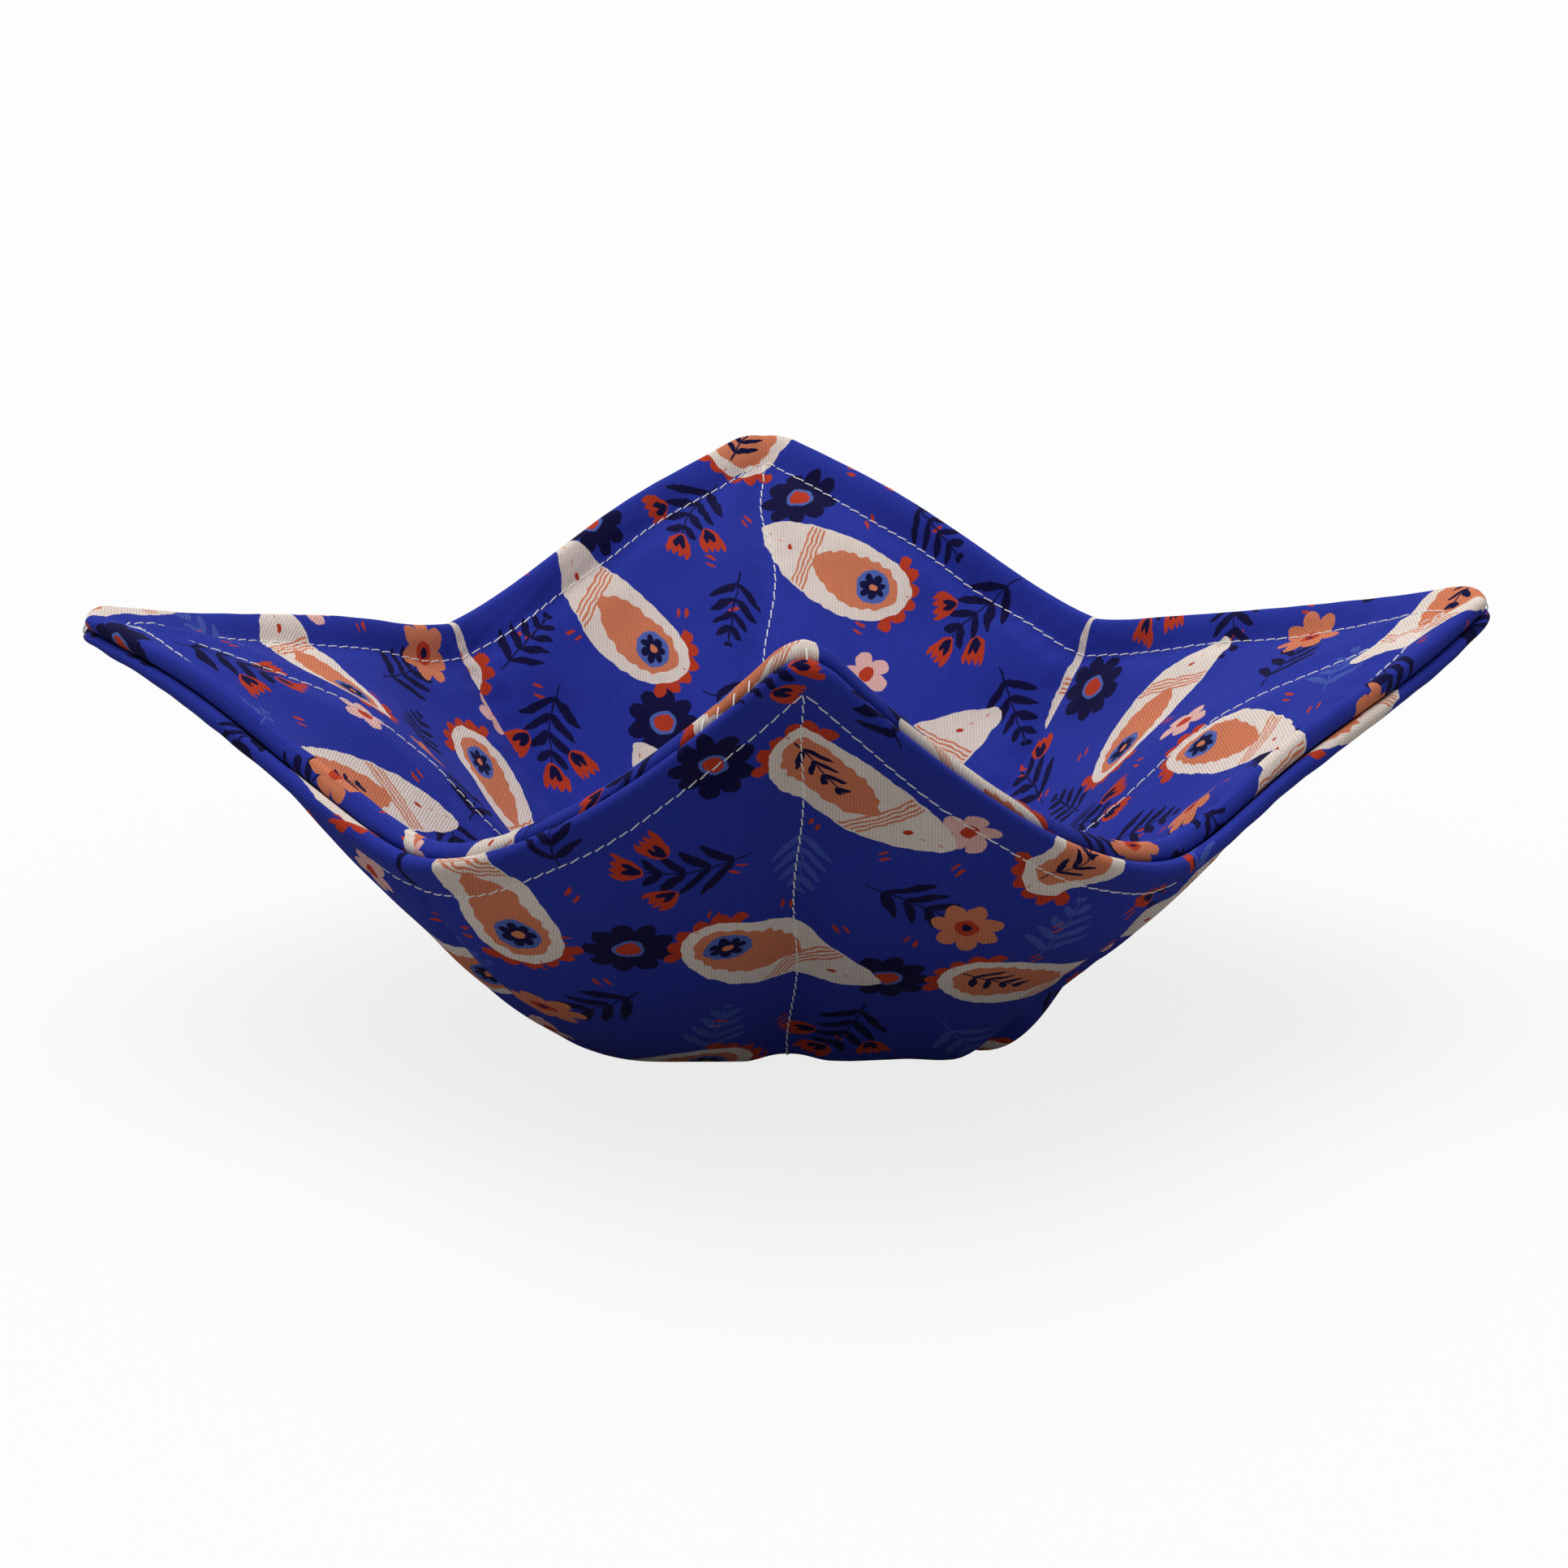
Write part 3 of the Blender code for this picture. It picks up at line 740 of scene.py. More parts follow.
class Value:
    """A number that varies over the cloth: a shader node's output, with arithmetic of its own."""

    def __init__(self, socket):
        self.socket = socket

    def __add__(self, other):
        return maths("ADD", self, other)

    def __sub__(self, other):
        return maths("SUBTRACT", self, other)

    def __rsub__(self, other):
        return maths("SUBTRACT", other, self)

    def __mul__(self, other):
        return maths("MULTIPLY", self, other)

    def __truediv__(self, other):
        return maths("DIVIDE", self, other)

    def __pow__(self, other):
        return maths("POWER", self, other)

    __radd__ = __add__
    __rmul__ = __mul__


def feed(node, inputs):
    """Gives a node's inputs their numbers, colours or links, by socket name or place."""
    for name, source in inputs.items():
        if isinstance(source, Value):
            source = source.socket
        if isinstance(source, bpy.types.NodeSocket):
            node.id_data.links.new(source, node.inputs[name])
        else:
            node.inputs[name].default_value = source


def joined(tree, kind, inputs, **settings):
    """A new node with its settings and its inputs."""
    node = tree.nodes.new(kind)
    for name, value in settings.items():
        setattr(node, name, value)
    feed(node, inputs)
    return node


def maths(operation, *terms, clamp=False):
    """One Math node on Values and plain numbers."""
    tree = next(term.socket.id_data for term in terms if isinstance(term, Value))
    inputs = dict(enumerate(terms))
    node = joined(tree, "ShaderNodeMath", inputs, operation=operation, use_clamp=clamp)
    return Value(node.outputs[0])


def parts_of(socket):
    """The three parts of a colour or of a place, as Values."""
    kind = "ShaderNodeSeparateColor" if socket.type == "RGBA" else "ShaderNodeSeparateXYZ"
    return [Value(part) for part in joined(socket.id_data, kind, {0: socket}).outputs]


def size_of(value):
    """The value without its sign."""
    return maths("ABSOLUTE", value)


def inked(depth):
    """1 inside a printed shape and 0 outside, from the depth inside its outline in millimetres."""
    return maths("DIVIDE", depth, PRINT_EDGE, clamp=True)


def drop_depth(x, y, long, wide, blunt, sharp):
    """Depth inside a drop that starts at x = 0; its two ends narrow by powers of the distance."""
    part = maths("DIVIDE", x, long, clamp=True)
    peak = blunt / (blunt + sharp)
    tallest = peak ** blunt * (1 - peak) ** sharp
    outline = (part ** blunt) * ((1 - part) ** sharp) * (wide / 2 / tallest)
    return outline - size_of(y)


def petal_depth(x, y, petals, radius, notch):
    """Depth inside a flower of rounded petals round the origin."""
    around = maths("ARCTAN2", y, x)
    scallop = size_of(maths("COSINE", around * (petals / 2))) ** 0.7
    return scallop * (radius * notch) + radius * (1 - notch) - distance(x, y)


def distance(x, y):
    """Distance from the origin."""
    return maths("SQRT", x * x + y * y)


def sprig_depth(x, y, long, wide, pitch, leaf):
    """Depth inside a stem with slanting pairs of leaves, which shorten towards its tip."""
    aside = size_of(y)
    along = x - aside * 0.85
    left = maths("DIVIDE", long - along, long, clamp=True)
    reach = left ** 0.6 * (wide / 2) + 0.01
    place = maths("PINGPONG", along, pitch / 2)
    part = maths("DIVIDE", aside, reach, clamp=True)
    outline = (part ** 0.45) * ((1 - part) ** 0.6) * (leaf * 0.95)
    leaves = outline - (pitch / 2 - place)
    within = maths("MINIMUM", along - pitch * 0.2, long - along)
    leaves = maths("MINIMUM", leaves, within)
    stem = maths("MINIMUM", 0.28 - aside, maths("MINIMUM", x + 1.5, long * 0.93 - x))
    return maths("MAXIMUM", leaves, stem)


def bud_depth(x, y, long, wide):
    """Depth inside a cupped bud whose open end is toothed."""
    cup = drop_depth(x, y, long * 1.25, wide, 0.55, 0.35)
    teeth = size_of(maths("SINE", y * 2.1)) * 1.3 + long * 0.78 - x
    return maths("MINIMUM", cup, teeth)


def moved(x, y, along, aside, turn):
    """The same point seen from a place further along, turned by an angle."""
    x, y = x - along, y - aside
    cos, sin = math.cos(turn), math.sin(turn)
    return x * cos + y * sin, y * cos - x * sin


def tossed(x, y, repeat, shift, layer, jitter, along_diagonals):
    """Local place in the nearest cell of the print, shifted and turned at random, and three draws.

    The large drops lie along the diagonals of the layout, which keeps them clear of the rest.
    """
    tree = x.socket.id_data
    across, down = x / repeat + shift[0], y / repeat + shift[1]
    column, row = maths("FLOOR", across), maths("FLOOR", down)
    number = joined(tree, "ShaderNodeCombineXYZ", {"X": column, "Y": row, "Z": layer})
    draw = joined(tree, "ShaderNodeTexWhiteNoise", {"Vector": number.outputs[0]})
    draws = parts_of(draw.outputs["Color"])
    local_x = (across - column - 0.5) * repeat + (draws[1] - 0.5) * jitter
    local_y = (down - row - 0.5) * repeat + (draws[2] - 0.5) * jitter
    if along_diagonals:
        angle = (maths("FLOOR", draws[0] * 4.0) + 0.5 + (draws[1] - 0.5) * 0.3) * (math.pi / 2)
    else:
        angle = draws[0] * FULL_TURN
    cos, sin = maths("COSINE", angle), maths("SINE", angle)
    return local_x * cos + local_y * sin, local_y * cos - local_x * sin, draws


def drop_motif(x, y, draw, ink):
    """Large cream drop with a bent tip, an orange heart, a blue round and a fringe."""
    long, wide = 39.0, 19.0
    x = x + long * 0.45
    part = maths("DIVIDE", x, long, clamp=True)
    y = y + part ** 2.0 * 13.0 - 2.6
    fringe = petal_depth(x - wide * 0.5, y, 17, wide * 0.60, 0.17)
    fringe = maths("MINIMUM", fringe, wide * 0.26 - x)
    body = drop_depth(x, y, long, wide, 0.50, 0.66)
    inner_x = x - 2.8
    scallops = maths("SINE", x * 2.1) * 0.25
    heart = drop_depth(inner_x, y, long * 0.56, wide * 0.66, 0.5, 0.6) + scallops
    heart = maths("MINIMUM", heart, body - 1.5)
    blue = 4.1 - distance(x - 9.0, y)
    daisy = petal_depth(x - 9.0, y, 7, 3.3, 0.42)
    eye = 1.0 - distance(x - 9.0, y)
    sprig = sprig_depth(inner_x - 2.0, y, 14.0, 8.6, 3.3, 2.1)
    chosen = maths("GREATER_THAN", draw, 0.5)
    bands = 0.32 - size_of(maths("PINGPONG", x, 1.0) - 0.5)
    bands = maths("MINIMUM", bands, maths("MINIMUM", body - 0.5, 2.0 - size_of(x - 26.0)))
    dots = 0.75 - distance(x - 31.0, y)
    other = 1 - chosen
    return [
        (inked(fringe), ink.red), (inked(body), ink.cream), (inked(heart), ink.orange),
        (inked(blue) * chosen, ink.pale_blue), (inked(daisy) * chosen, ink.navy),
        (inked(eye) * chosen, ink.orange), (inked(sprig) * other, ink.navy),
        (inked(bands), ink.orange), (inked(dots), ink.red),
    ]


def spray_motif(x, y, draw, ink):
    """Leafy spray that ends in three buds, or a leafy spray beside an orange daisy."""
    chosen = maths("GREATER_THAN", draw, 0.45)
    x = x + 12.5
    bent = y + maths("SINE", x * 0.16) * 1.4
    leaves = sprig_depth(x, bent, 21.0, 15.0, 4.4, 3.1)
    layers = [(inked(leaves), ink.navy)]
    for along, aside, turn in ((18.0, 0.0, 0.0), (13.5, 4.8, 0.6), (12.0, -5.0, -0.65)):
        bud = bud_depth(*moved(x, bent, along, aside, turn), 6.6, 6.0)
        layers.append((inked(bud) * chosen, ink.red))
        heart = bud_depth(*moved(x, bent, along + 0.4, aside, turn), 3.2, 2.8)
        layers.append((inked(heart) * chosen, ink.navy))
    daisy_x, daisy_y = moved(x, bent, 20.0, 0.0, 0.0)
    other = 1 - chosen
    layers.append((inked(petal_depth(daisy_x, daisy_y, 7, 7.2, 0.36)) * other, ink.orange))
    layers.append((inked(2.3 - distance(daisy_x, daisy_y)) * other, ink.red))
    layers.append((inked(1.0 - distance(daisy_x, daisy_y)) * other, ink.navy))
    return layers


def daisy_motif(x, y, draw, ink):
    """Navy daisy with a bright eye, or a small pink blossom."""
    chosen = maths("GREATER_THAN", draw, 0.42)
    other = 1 - chosen
    far = distance(x, y)
    return [
        (inked(petal_depth(x, y, 9, 8.2, 0.30)) * chosen, ink.navy),
        (inked(2.9 - far) * chosen, ink.pale_blue), (inked(2.2 - far) * chosen, ink.red),
        (inked(petal_depth(x, y, 5, 5.6, 0.46)) * other, ink.pink),
        (inked(1.7 - far) * other, ink.red),
    ]


def leaf_motif(x, y, draw, ink):
    """Small navy sprig, or the same in faint blue."""
    chosen = maths("GREATER_THAN", draw, 0.35)
    leaves = inked(sprig_depth(x + 9.5, y, 19.0, 13.0, 4.1, 2.8))
    return [(leaves * chosen, ink.navy), (leaves * (1 - chosen) * 0.55, ink.pale_blue)]


def tick_motif(x, y, draw, ink):
    """A pair of short red ticks, in about a third of the cells."""
    chosen = maths("GREATER_THAN", draw, 0.68)
    one = drop_depth(x + 1.4, y - 0.9, 2.8, 0.95, 0.6, 0.6)
    two = drop_depth(x + 0.6, y + 0.9, 2.6, 0.85, 0.6, 0.6)
    return [(inked(maths("MAXIMUM", one, two)) * chosen, ink.red)]


def print_group():
    """Node group that prints the cloth, from a place on it in millimetres."""
    ink = bpy.context.scene.cozy_print
    tree = bpy.data.node_groups.new("cotton print", "ShaderNodeTree")
    tree.interface.new_socket("Cloth", in_out="INPUT", socket_type="NodeSocketVector")
    tree.interface.new_socket("Colour", in_out="OUTPUT", socket_type="NodeSocketColor")
    cloth = tree.nodes.new("NodeGroupInput").outputs[0]
    wobble = joined(tree, "ShaderNodeTexNoise", {"Vector": cloth, "Scale": 0.30, "Detail": 1.5},
                    noise_dimensions="2D")
    strays = parts_of(wobble.outputs["Color"])
    x, y = (part + (stray - 0.5) * PRINT_STRAY for part, stray in zip(parts_of(cloth)[:2], strays))
    x, y = moved(x, y, 0.0, 0.0, PRINT_TURN)

    repeat = ink.repeat / MM
    layout = (
        (tick_motif, repeat / 4, (0.5, 0.5), 5.0, 3.0, False),
        (leaf_motif, repeat, (0.5, 0.0), 4.0, 2.5, False),
        (daisy_motif, repeat, (0.0, 0.5), 3.0, 2.5, False),
        (spray_motif, repeat, (0.0, 0.0), 2.0, 2.5, False),
        (drop_motif, repeat, (0.5, 0.5), 1.0, 2.5, True),
    )
    layers = []
    for motif, spacing, shift, layer, jitter, diagonal in layout:
        local_x, local_y, draws = tossed(x, y, spacing, shift, layer, jitter, diagonal)
        mixed = maths("FRACT", draws[0] * 7.0 + draws[1] * 3.0)
        layers += motif(local_x, local_y, mixed, ink)

    colour_now = (*ink.ground, 1.0)
    for mask, shade in layers:
        mix = joined(tree, "ShaderNodeMix", {"Factor": mask, 6: colour_now, 7: (*shade, 1.0)},
                     data_type="RGBA")
        colour_now = mix.outputs[2]
    joined(tree, "NodeGroupOutput", {0: colour_now})
    return tree


def new_material(name, roughness, sheen):
    """Material with one Principled shader, and that shader."""
    material = bpy.data.materials.new(name)
    material.use_nodes = True
    shader = material.node_tree.nodes["Principled BSDF"]
    feed(shader, {"Roughness": roughness, "Specular IOR Level": 0.08,
                  "Sheen Weight": sheen, "Sheen Roughness": 0.45})
    return material, shader


def noise(place, scale, detail, stretch=(1.0, 1.0, 1.0)):
    """Noise over a stretched place, as a Value about 0.5."""
    tree = place.id_data
    stretched = joined(tree, "ShaderNodeMapping", {"Vector": place, "Scale": stretch}).outputs[0]
    texture = joined(tree, "ShaderNodeTexNoise", {"Vector": stretched, "Scale": scale, "Detail": detail})
    return Value(texture.outputs["Fac"])


def bumped(shader, height, strength, depth):
    """Feeds a relief into the shader's normal."""
    bump = joined(shader.id_data, "ShaderNodeBump",
                  {"Strength": strength, "Distance": depth, "Height": height})
    feed(shader, {"Normal": bump.outputs[0]})


def shaded(shader, value, dark, light):
    """Colours the shader between a dark and a light tone by a value."""
    ramp = joined(shader.id_data, "ShaderNodeValToRGB", {"Fac": value})
    for element, tone in zip(ramp.color_ramp.elements, (dark, light)):
        element.color = (*tone, 1.0)
    feed(shader, {"Base Color": ramp.outputs[0]})


def cotton_material(name, print_tree, offset, turn):
    """Printed plain-weave cotton: the print, the ribs of the weave with painted shade in their grooves, thick
    threads, and broad painted shade for soft creases.
    """
    ink = bpy.context.scene.cozy_print
    material, shader = new_material(name, 0.82, 0.03)
    tree = material.node_tree
    cloth = joined(tree, "ShaderNodeUVMap", {}, uv_map="cloth").outputs[0]
    span = bpy.context.scene.cozy_pattern.cut_square * math.sqrt(2) / MM
    to_mm = {"Vector": cloth, "Scale": (span, span, 1.0)}
    print_mm = joined(tree, "ShaderNodeMapping",
                      {**to_mm, "Location": (*offset, 0.0), "Rotation": (0.0, 0.0, turn)})
    printed = joined(tree, "ShaderNodeGroup", {0: print_mm.outputs[0]}, node_tree=print_tree)

    weave = joined(tree, "ShaderNodeMapping", to_mm).outputs[0]
    uneven = noise(weave, 0.5, 2.0)
    warp, weft = (size_of(maths("SINE", (place + uneven * 0.5) * (math.pi * MM / pitch)))
                  for place, pitch in zip(parts_of(weave), (ink.warp_pitch, ink.weft_pitch)))
    slub = noise(weave, 1.0, 2.0, (2.2, 0.10, 1.0)) + noise(weave, 1.0, 2.0, (0.10, 2.2, 1.0))
    painted_crease_shade = noise(weave, 0.035, 3.0)
    # Painted shade: the colour darkens in the grooves between the ribs and in broad patches for soft creases;
    # the slubs are the threads' own tone
    tone = warp * 0.22 + weft * 0.08 + slub * 0.16 + painted_crease_shade * 0.22 + 0.56
    print_with_painted_shade = joined(tree, "ShaderNodeVectorMath", {0: printed.outputs[0], "Scale": tone}, operation="SCALE")
    feed(shader, {"Base Color": print_with_painted_shade.outputs[0]})
    bumped(shader, warp * 0.8 + weft * 0.5 + slub * 0.6, 0.7, 0.00013)
    return material


def batting_material():
    """Soft needled batting, off-white, with tangled fibres."""
    material, shader = new_material("cotton_batting", 0.95, 0.3)
    place = material.node_tree.nodes.new("ShaderNodeTexCoord").outputs["Object"]
    fibres = noise(place, 900.0, 6.0, (1.0, 0.3, 1.0)) + noise(place, 700.0, 6.0, (0.3, 1.0, 1.0))
    shaded(shader, fibres * 0.5, (0.66, 0.63, 0.55), (0.90, 0.88, 0.83))
    bumped(shader, fibres, 0.8, 0.0004)
    return material


def thread_material():
    """White cotton thread, with the plies' twist along each stitch and painted shade in the grooves between
    the plies.
    """
    material, shader = new_material("sewing_thread", 0.55, 0.25)
    tree = material.node_tree
    along, around, _ = parts_of(joined(tree, "ShaderNodeUVMap", {}, uv_map="twist").outputs[0])
    plies = maths("SINE", (along * 1.6 + around * 2.0) * FULL_TURN)
    fuzz = noise(tree.nodes.new("ShaderNodeTexCoord").outputs["Object"], 2500.0, 3.0)
    # Painted shade: the white thread darkens along the twist's grooves between the plies; the fuzz is the
    # thread's own uneven tone
    shaded(shader, plies * 0.25 + fuzz * 0.5 + 0.25, (0.74, 0.72, 0.67), (0.92, 0.91, 0.88))
    bumped(shader, plies + fuzz, 0.6, 0.00005)
    return material


def thread():
    """The thread's material, made once."""
    return bpy.data.materials.get("sewing_thread") or thread_material()


def stitch_tree():
    """Node tree that lays one arched stitch at each step along a seam.

    The seam is a mesh of edges with an attribute, up, that points out of the cloth.
    """
    tree = bpy.data.node_groups.get("sewn stitches")
    if tree:
        return tree
    tree = bpy.data.node_groups.new("sewn stitches", "GeometryNodeTree")
    sizes = ("Pitch", "Stitch length", "Thread radius", "Rise", "Dive", "Slant", "Unevenness")
    kinds = {"Seam": "Geometry", **dict.fromkeys(sizes, "Float"), "Seed": "Int", "Thread": "Material"}
    for name, kind in kinds.items():
        tree.interface.new_socket(name, in_out="INPUT", socket_type="NodeSocket" + kind)
    tree.interface.new_socket("Stitches", in_out="OUTPUT", socket_type="NodeSocketGeometry")
    given = tree.nodes.new("NodeGroupInput").outputs
    values = [Value(given[name]) for name in sizes]
    pitch, stitch_length, thread_radius, rise, dive, slant, unevenness = values

    def geometry(kind, inputs, **settings):
        return joined(tree, kind, inputs, **settings).outputs[0]

    def stored(shape, name, value, kind="FLOAT", domain="POINT"):
        inputs = {"Geometry": shape, "Name": name, "Value": value}
        return geometry("GeometryNodeStoreNamedAttribute", inputs, data_type=kind, domain=domain)

    def read(name, kind="FLOAT"):
        return geometry("GeometryNodeInputNamedAttribute", {"Name": name}, data_type=kind)

    # Where each stitch goes, and which way it lies
    seam = geometry("GeometryNodeMeshToCurve", {"Mesh": given["Seam"]})
    steps = joined(tree, "GeometryNodeCurveToPoints", {"Curve": seam, "Length": pitch},
                   mode="LENGTH").outputs
    facing = geometry("FunctionNodeAxesToRotation",
                      {"Primary Axis": steps["Tangent"], "Secondary Axis": read("up", "FLOAT_VECTOR")},
                      primary_axis="X", secondary_axis="Z")
    draw = joined(tree, "FunctionNodeRandomValue", {"Min": -0.5, "Max": 0.5, "Seed": given["Seed"]},
                  data_type="FLOAT")
    uneven = Value(draw.outputs[1])
    about_up = geometry("FunctionNodeAxisAngleToRotation",
                        {"Axis": (0.0, 0.0, 1.0), "Angle": maths("MULTIPLY_ADD", uneven, slant, slant)})
    turned = geometry("FunctionNodeRotateRotation", {"Rotation": facing, "Rotate By": about_up},
                      rotation_space="LOCAL")

    # One stitch: a short thread that rises from the cloth, arches and dives in again
    head = geometry("ShaderNodeCombineXYZ", {"X": stitch_length * 0.5})
    tail = geometry("ShaderNodeCombineXYZ", {"X": stitch_length * -0.5})
    line = geometry("GeometryNodeCurvePrimitiveLine", {"Start": tail, "End": head})
    run = geometry("GeometryNodeResampleCurve", {"Curve": line, "Count": 9})
    share = Value(joined(tree, "GeometryNodeSplineParameter", {}).outputs["Factor"])
    from_middle = share * 2.0 - 1.0
    height = rise - (from_middle * from_middle) ** 2.6 * dive
    arched = geometry("GeometryNodeSetPosition",
                      {"Geometry": run, "Offset": geometry("ShaderNodeCombineXYZ", {"Z": height})})
    section = geometry("GeometryNodeCurvePrimitiveCircle", {"Resolution": 6, "Radius": thread_radius})
    tube_mesh = geometry("GeometryNodeCurveToMesh",
                         {"Curve": stored(arched, "along", share),
                          "Profile Curve": stored(section, "around", share), "Fill Caps": True})
    twist = geometry("ShaderNodeCombineXYZ", {"X": read("along"), "Y": read("around")})
    wound = stored(tube_mesh, "twist", twist, "FLOAT2", "CORNER")
    rounded = geometry("GeometryNodeSetShadeSmooth", {"Geometry": wound})

    scale = geometry("ShaderNodeCombineXYZ", {"X": uneven * unevenness + 1.0, "Y": 1.0, "Z": 1.0})
    row = geometry("GeometryNodeInstanceOnPoints",
                   {"Points": steps["Points"], "Instance": rounded, "Rotation": turned, "Scale": scale})
    real = geometry("GeometryNodeRealizeInstances", {"Geometry": row})
    dyed = geometry("GeometryNodeSetMaterial", {"Geometry": real, "Material": given["Thread"]})
    joined(tree, "NodeGroupOutput", {0: dyed})
    return tree


def plain_thread(name, guide, nodes, material=None):
    """Turns a guide object into a piece of plain mesh, and takes the guide away."""
    depsgraph = bpy.context.evaluated_depsgraph_get()
    mesh = bpy.data.meshes.new_from_object(guide.evaluated_get(depsgraph), depsgraph=depsgraph)
    mesh.name = name
    bpy.data.objects.remove(guide)
    if not mesh.polygons:
        raise RuntimeError(f"{name} has no stitches")
    if material:
        mesh.materials.clear()
        mesh.materials.append(material)
        mesh.shade_smooth()
    return register_piece(add_object(name, mesh), nodes)


def sewn(name, points, ups, pitch, closed=False, nodes=(), rise=STITCH_RISE, dive=STITCH_DIVE):
    """A row of stitches along points on the cloth, made plain mesh."""
    stitching = bpy.context.scene.cozy_stitching
    seam = bpy.data.meshes.new(name + "_seam")
    edges = [(index, index + 1) for index in range(len(points) - 1)]
    if closed:
        edges.append((len(points) - 1, 0))
    seam.from_pydata(points.tolist(), edges, [])
    up = seam.attributes.new("up", "FLOAT_VECTOR", "POINT")
    up.data.foreach_set("vector", ups.ravel())
    guide = add_object(name + "_seam", seam)

    tree = stitch_tree()
    sewing = guide.modifiers.new("sewing", "NODES")
    sewing.node_group = tree
    values = {
        "Pitch": even_pitch(points, pitch, closed), "Stitch length": pitch * stitching.filled,
        "Thread radius": stitching.thread / 2, "Rise": rise, "Dive": dive, "Slant": stitching.slant,
        "Unevenness": STITCH_UNEVENNESS, "Seed": stitching.seed, "Thread": thread(),
    }
    for item in tree.interface.items_tree:
        if item.in_out == "INPUT" and item.name in values:
            sewing[item.identifier] = values[item.name]
    piece = plain_thread(name, guide, nodes)
    bpy.data.meshes.remove(seam)
    return piece


def even_pitch(points, pitch, closed):
    """The pitch nearest to the wanted one that divides the seam into whole steps."""
    steps = np.diff(points, axis=0, append=points[:1] if closed else points[-1:])
    total = np.linalg.norm(steps, axis=1).sum()
    return total / max(1, round(total / pitch))


def on_face(surface, side, radius, lift=0.0):
    """Points on a cover's face, a lift over it, and the directions out of it."""
    offset = side * (surface.face(side, radius) + lift)
    return surface.place(radius, offset), surface.normal(radius, side)


def quilting_arm(corner, side, lift):
    """A quilting line from beside the middle up to the topstitch at one corner."""
    seam = one_direction(1, corner, 1.0, 0.0).seam[0]
    radius = np.arange(QUILTING_START, seam - QUILTING_SHORT, QUILTING_STEP)
    aside = one_direction(radius.size, corner, 1.0, 0.0)
    angle = aside.strays(side, radius) / radius
    share = np.abs(angle) / (EIGHTH - aside.dart_angle(radius))
    surface = Surface(aside.corner, np.where(angle < 0, -1.0, 1.0), share)
    return on_face(surface, side, radius, lift * near_crossing(radius))


class CozyOperator:
    """What the operators share."""

    bl_options = {"REGISTER", "UNDO"}


class COZY_OT_covers(CozyOperator, Operator):
    """Cut, fold and join the two printed cotton covers"""

    bl_idname = "cozy.covers"
    bl_label = "Sew the covers"

    def execute(self, context):
        printed = print_group()
        for prefix, node, offset, turn in (("outer", "outer_cover", (4.0, 9.0), 0.0),
                                           ("lining", "lining", (31.0, -14.0), math.radians(90))):
            finish = cotton_material(prefix + "_cotton", printed, offset, turn)
            cover = build_cover(prefix + "_cloth", SIDES[prefix], finish)
            register_piece(cover, [node])
        return {"FINISHED"}


class COZY_OT_batting(CozyOperator, Operator):
    """Lay the batting in each cover"""

    bl_idname = "cozy.batting"
    bl_label = "Lay the batting"

    def execute(self, context):
        finish = batting_material()
        for prefix, side in SIDES.items():
            pad = build_batting(prefix + "_wadding", side, finish)
            register_piece(pad, [prefix + "_batting"])
        return {"FINISHED"}


class COZY_OT_topstitch(CozyOperator, Operator):
    """Sew the topstitch right round, inside the rolled rim, on both faces"""

    bl_idname = "cozy.topstitch"
    bl_label = "Sew the topstitch"

    def execute(self, context):
        pitch = context.scene.cozy_stitching.topstitch_pitch
        surface = all_round(COVER_DIRECTIONS)
        for prefix, side in SIDES.items():
            points, ups = on_face(surface, side, surface.seam)
            sewn(prefix + "_topstitch", points, ups, pitch, closed=True, nodes=[prefix + "_topstitch_thread"])
        return {"FINISHED"}


class COZY_OT_quilting(CozyOperator, Operator):
    """Quilt each cover from corner to corner, both ways"""

    bl_idname = "cozy.quilting"
    bl_label = "Quilt the covers"

    def execute(self, context):
        pitch = context.scene.cozy_stitching.quilting_pitch
        over = all_round(1).crossing_step()
        lines = (("front_back", ("front", "back"), over), ("left_right", ("left", "right"), 0.0))
        for prefix, side in SIDES.items():
            for name, pair, lift in lines:
                first, second = (quilting_arm(CORNERS.index(corner), side, lift) for corner in pair)
                points, ups = (np.concatenate([start[::-1], end]) for start, end in zip(first, second))
                sewn(f"{prefix}_quilting_{name}", points, ups, pitch,
                     nodes=[f"{prefix}_quilting_thread_{name}"])
        return {"FINISHED"}


class COZY_OT_darts(CozyOperator, Operator):
    """Sew the hidden seam of each dart, under the cover"""

    bl_idname = "cozy.darts"
    bl_label = "Sew the darts"

    def execute(self, context):
        pitch = context.scene.cozy_stitching.hidden_pitch
        layers = context.scene.cozy_layers
        under = layers.cloth + layers.gap + context.scene.cozy_stitching.thread / 2
        for prefix, side in SIDES.items():
            for number, dart in enumerate(DARTS):
                plain = one_direction(1, number, 1.0, 1.0)
                radius = np.arange(plain.dart_tip, plain.seam[0] - PLAIN_MARGIN, DART_STEP)
                surface = one_direction(radius.size, number, 1.0, 1.0)
                points, ups = on_face(surface, side, radius, -under)
                sewn(f"{prefix}_dart_{dart}", points, ups, pitch, nodes=[f"{prefix}_dart_thread_{dart}"],
                     rise=0.0, dive=0.0)
        return {"FINISHED"}


class COZY_OT_edge_seam(CozyOperator, Operator):
    """Sew the hidden seam that joins the covers, inside the outer roll"""

    bl_idname = "cozy.edge_seam"
    bl_label = "Join the covers"

    def execute(self, context):
        surface = all_round(COVER_DIRECTIONS)
        layers, stitching = surface.layers, surface.stitching
        height = surface.half_gap + layers.cloth + layers.gap + stitching.thread / 2
        radius = surface.inset(BEAD_DEPTH)
        points = surface.place(radius, np.full(radius.shape, OUTSIDE * height))
        sewn("edge_seam", points, surface.normal(radius, OUTSIDE), stitching.hidden_pitch, closed=True,
             nodes=["edge_seam_thread"], rise=0.0, dive=0.0)
        return {"FINISHED"}


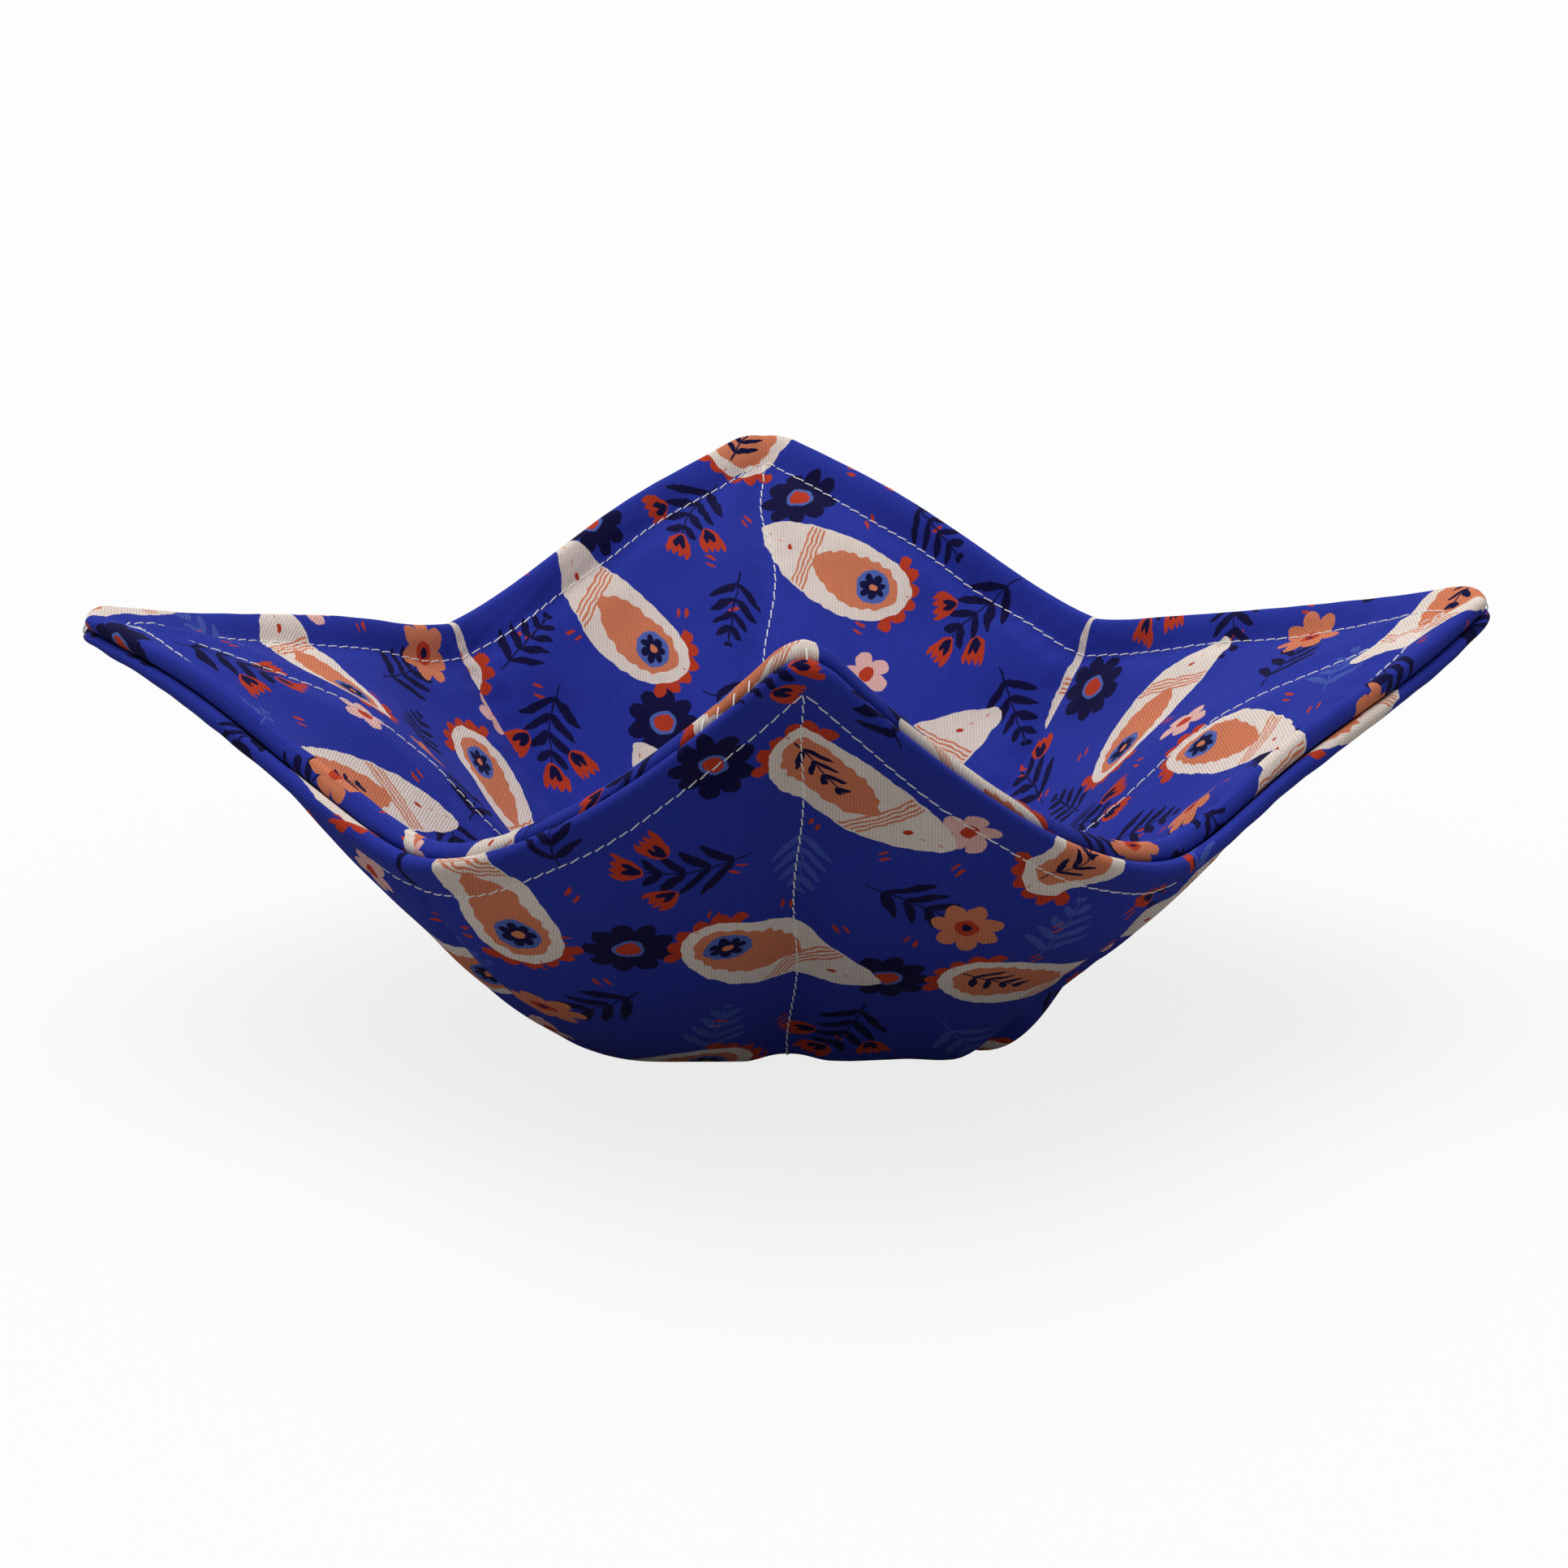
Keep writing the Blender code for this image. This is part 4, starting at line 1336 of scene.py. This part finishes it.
class COZY_OT_hand_stitches(CozyOperator, Operator):
    """Close the turning gap beside the front tip and tack the tips, by hand"""

    bl_idname = "cozy.hand_stitches"
    bl_label = "Sew the hand stitches"

    def execute(self, context):
        for name, corner, turn, shares in HAND_STITCHES:
            for number, share in enumerate(shares):
                over_rim(f"{name}_{number + 1}", CORNERS.index(corner), turn, share)
        return {"FINISHED"}


def over_rim(name, corner, turn, share):
    """One short stitch that passes over both rolls of the rim, with its ends sunk in them."""
    surface = one_direction(HAND_POINTS, corner, turn, share)
    across = np.linspace(-1, 1, HAND_POINTS)
    roll = np.where(across < 0, surface.roll_height(OUTSIDE), surface.roll_height(INSIDE))
    inset = HAND_REACH * across ** 2 - HAND_PROUD
    points = surface.place(surface.inset(0.0) - inset, across * roll * HAND_SPREAD)
    return tube(name, points, surface.stitching.thread * HAND_RADIUS_SHARE)


def tube(name, points, radius):
    """Round thread along points, made plain mesh."""
    curve = bpy.data.curves.new(name, "CURVE")
    curve.dimensions = "3D"
    curve.bevel_depth = radius
    curve.bevel_resolution = 2
    curve.use_fill_caps = True
    run = curve.splines.new("POLY")
    run.points.add(len(points) - 1)
    run.points.foreach_set("co", np.column_stack([points, np.ones(len(points))]).ravel())
    return plain_thread(name, add_object(name + "_path", curve), (), thread())


class COZY_OT_studio(CozyOperator, Operator):
    """Set the pale floor, the soft lights and the camera"""

    bl_idname = "cozy.studio"
    bl_label = "Set the studio"

    def execute(self, context):
        studio = context.scene.cozy_studio
        add_floor(studio)
        add_key_light(studio)
        world = bpy.data.worlds.new("daylight")
        world.use_nodes = True
        seen = joined(world.node_tree, "ShaderNodeLightPath", {}).outputs["Is Camera Ray"]
        strength = Value(seen) * (1 - studio.daylight) + studio.daylight
        feed(world.node_tree.nodes["Background"], {"Color": (1.0, 1.0, 1.0, 1.0), "Strength": strength})
        context.scene.world = world
        context.scene.view_settings.view_transform = "Standard"
        add_camera(context.scene, studio)
        return {"FINISHED"}


def add_floor(studio):
    """Wide pale floor at the height of the table."""
    half = FLOOR_HALF
    mesh = bpy.data.meshes.new("floor")
    outline = [(-half, -half, 0), (half, -half, 0), (half, half, 0), (-half, half, 0)]
    mesh.from_pydata(outline, [], [(0, 1, 2, 3)])
    material, shader = new_material("pale_floor", 0.9, 0.0)
    seen = joined(material.node_tree, "ShaderNodeLightPath", {}).outputs["Is Camera Ray"]
    dimmed = tuple(part * (1 - studio.glow) for part in studio.floor)
    shade = joined(material.node_tree, "ShaderNodeMix",
                   {0: seen, 6: (*studio.bounce, 1.0), 7: (*dimmed, 1.0)}, data_type="RGBA")
    feed(shader, {"Base Color": shade.outputs[2], "Emission Color": (*studio.floor, 1.0),
                  "Emission Strength": Value(seen) * studio.glow})
    mesh.materials.append(material)
    add_object("floor", mesh)


def add_key_light(studio):
    """Wide soft light from overhead, a little from behind and from the left."""
    lamp = bpy.data.lights.new("key_light", "SUN")
    lamp.energy = studio.key
    lamp.angle = studio.key_spread
    light = add_object("key_light", lamp)
    light.rotation_euler = Vector(KEY_HEADING).to_track_quat("-Z", "Y").to_euler()


def add_camera(scene, studio):
    """Camera that looks at the middle of the cozy from the front."""
    middle = cozy_middle()
    aim = Vector((middle[0], middle[1], studio.aim_height))
    level = math.cos(studio.elevation)
    back = Vector((-level * math.sin(studio.azimuth), -level * math.cos(studio.azimuth),
                   math.sin(studio.elevation)))
    camera = add_object("camera", bpy.data.cameras.new("camera"))
    camera.location = aim + back * studio.distance
    camera.rotation_euler = (-back).to_track_quat("-Z", "Y").to_euler()
    camera.data.lens = studio.lens
    camera.data.sensor_width = SENSOR_WIDTH
    camera.data.shift_x, camera.data.shift_y = FRAME_SHIFT
    scene.camera = camera


SETTINGS = {
    "cozy_pattern": CozyPattern,
    "cozy_layers": CozyLayers,
    "cozy_stitching": CozyStitching,
    "cozy_print": CozyPrint,
    "cozy_studio": CozyStudio,
}
STEPS = (
    COZY_OT_covers,
    COZY_OT_batting,
    COZY_OT_topstitch,
    COZY_OT_quilting,
    COZY_OT_darts,
    COZY_OT_edge_seam,
    COZY_OT_hand_stitches,
    COZY_OT_studio,
)


class COZY_PT_panel(Panel):
    """The settings and the steps, in the order in which they run"""

    bl_label = "Cozy"
    bl_idname = "COZY_PT_panel"
    bl_space_type = "VIEW_3D"
    bl_region_type = "UI"
    bl_category = "Cozy"

    def draw(self, context):
        for attribute, settings in SETTINGS.items():
            box = self.layout.box()
            for name in settings.__annotations__:
                box.prop(getattr(context.scene, attribute), name)
        for step in STEPS:
            self.layout.operator(step.bl_idname)


CLASSES = (*SETTINGS.values(), *STEPS, COZY_PT_panel)


def register():
    """Registers the classes and puts the settings on the scene."""
    for item in CLASSES:
        bpy.utils.register_class(item)
    for attribute, settings in SETTINGS.items():
        setattr(bpy.types.Scene, attribute, PointerProperty(type=settings))


def unregister():
    """Takes the settings and the classes away again."""
    for attribute in SETTINGS:
        delattr(bpy.types.Scene, attribute)
    for item in reversed(CLASSES):
        bpy.utils.unregister_class(item)


def main():
    """Builds everything in order."""
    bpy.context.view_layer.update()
    register()
    bpy.ops.cozy.covers()
    bpy.ops.cozy.batting()
    bpy.ops.cozy.topstitch()
    bpy.ops.cozy.quilting()
    bpy.ops.cozy.darts()
    bpy.ops.cozy.edge_seam()
    bpy.ops.cozy.hand_stitches()
    bpy.ops.cozy.studio()


if __name__ == "__main__":
    main()
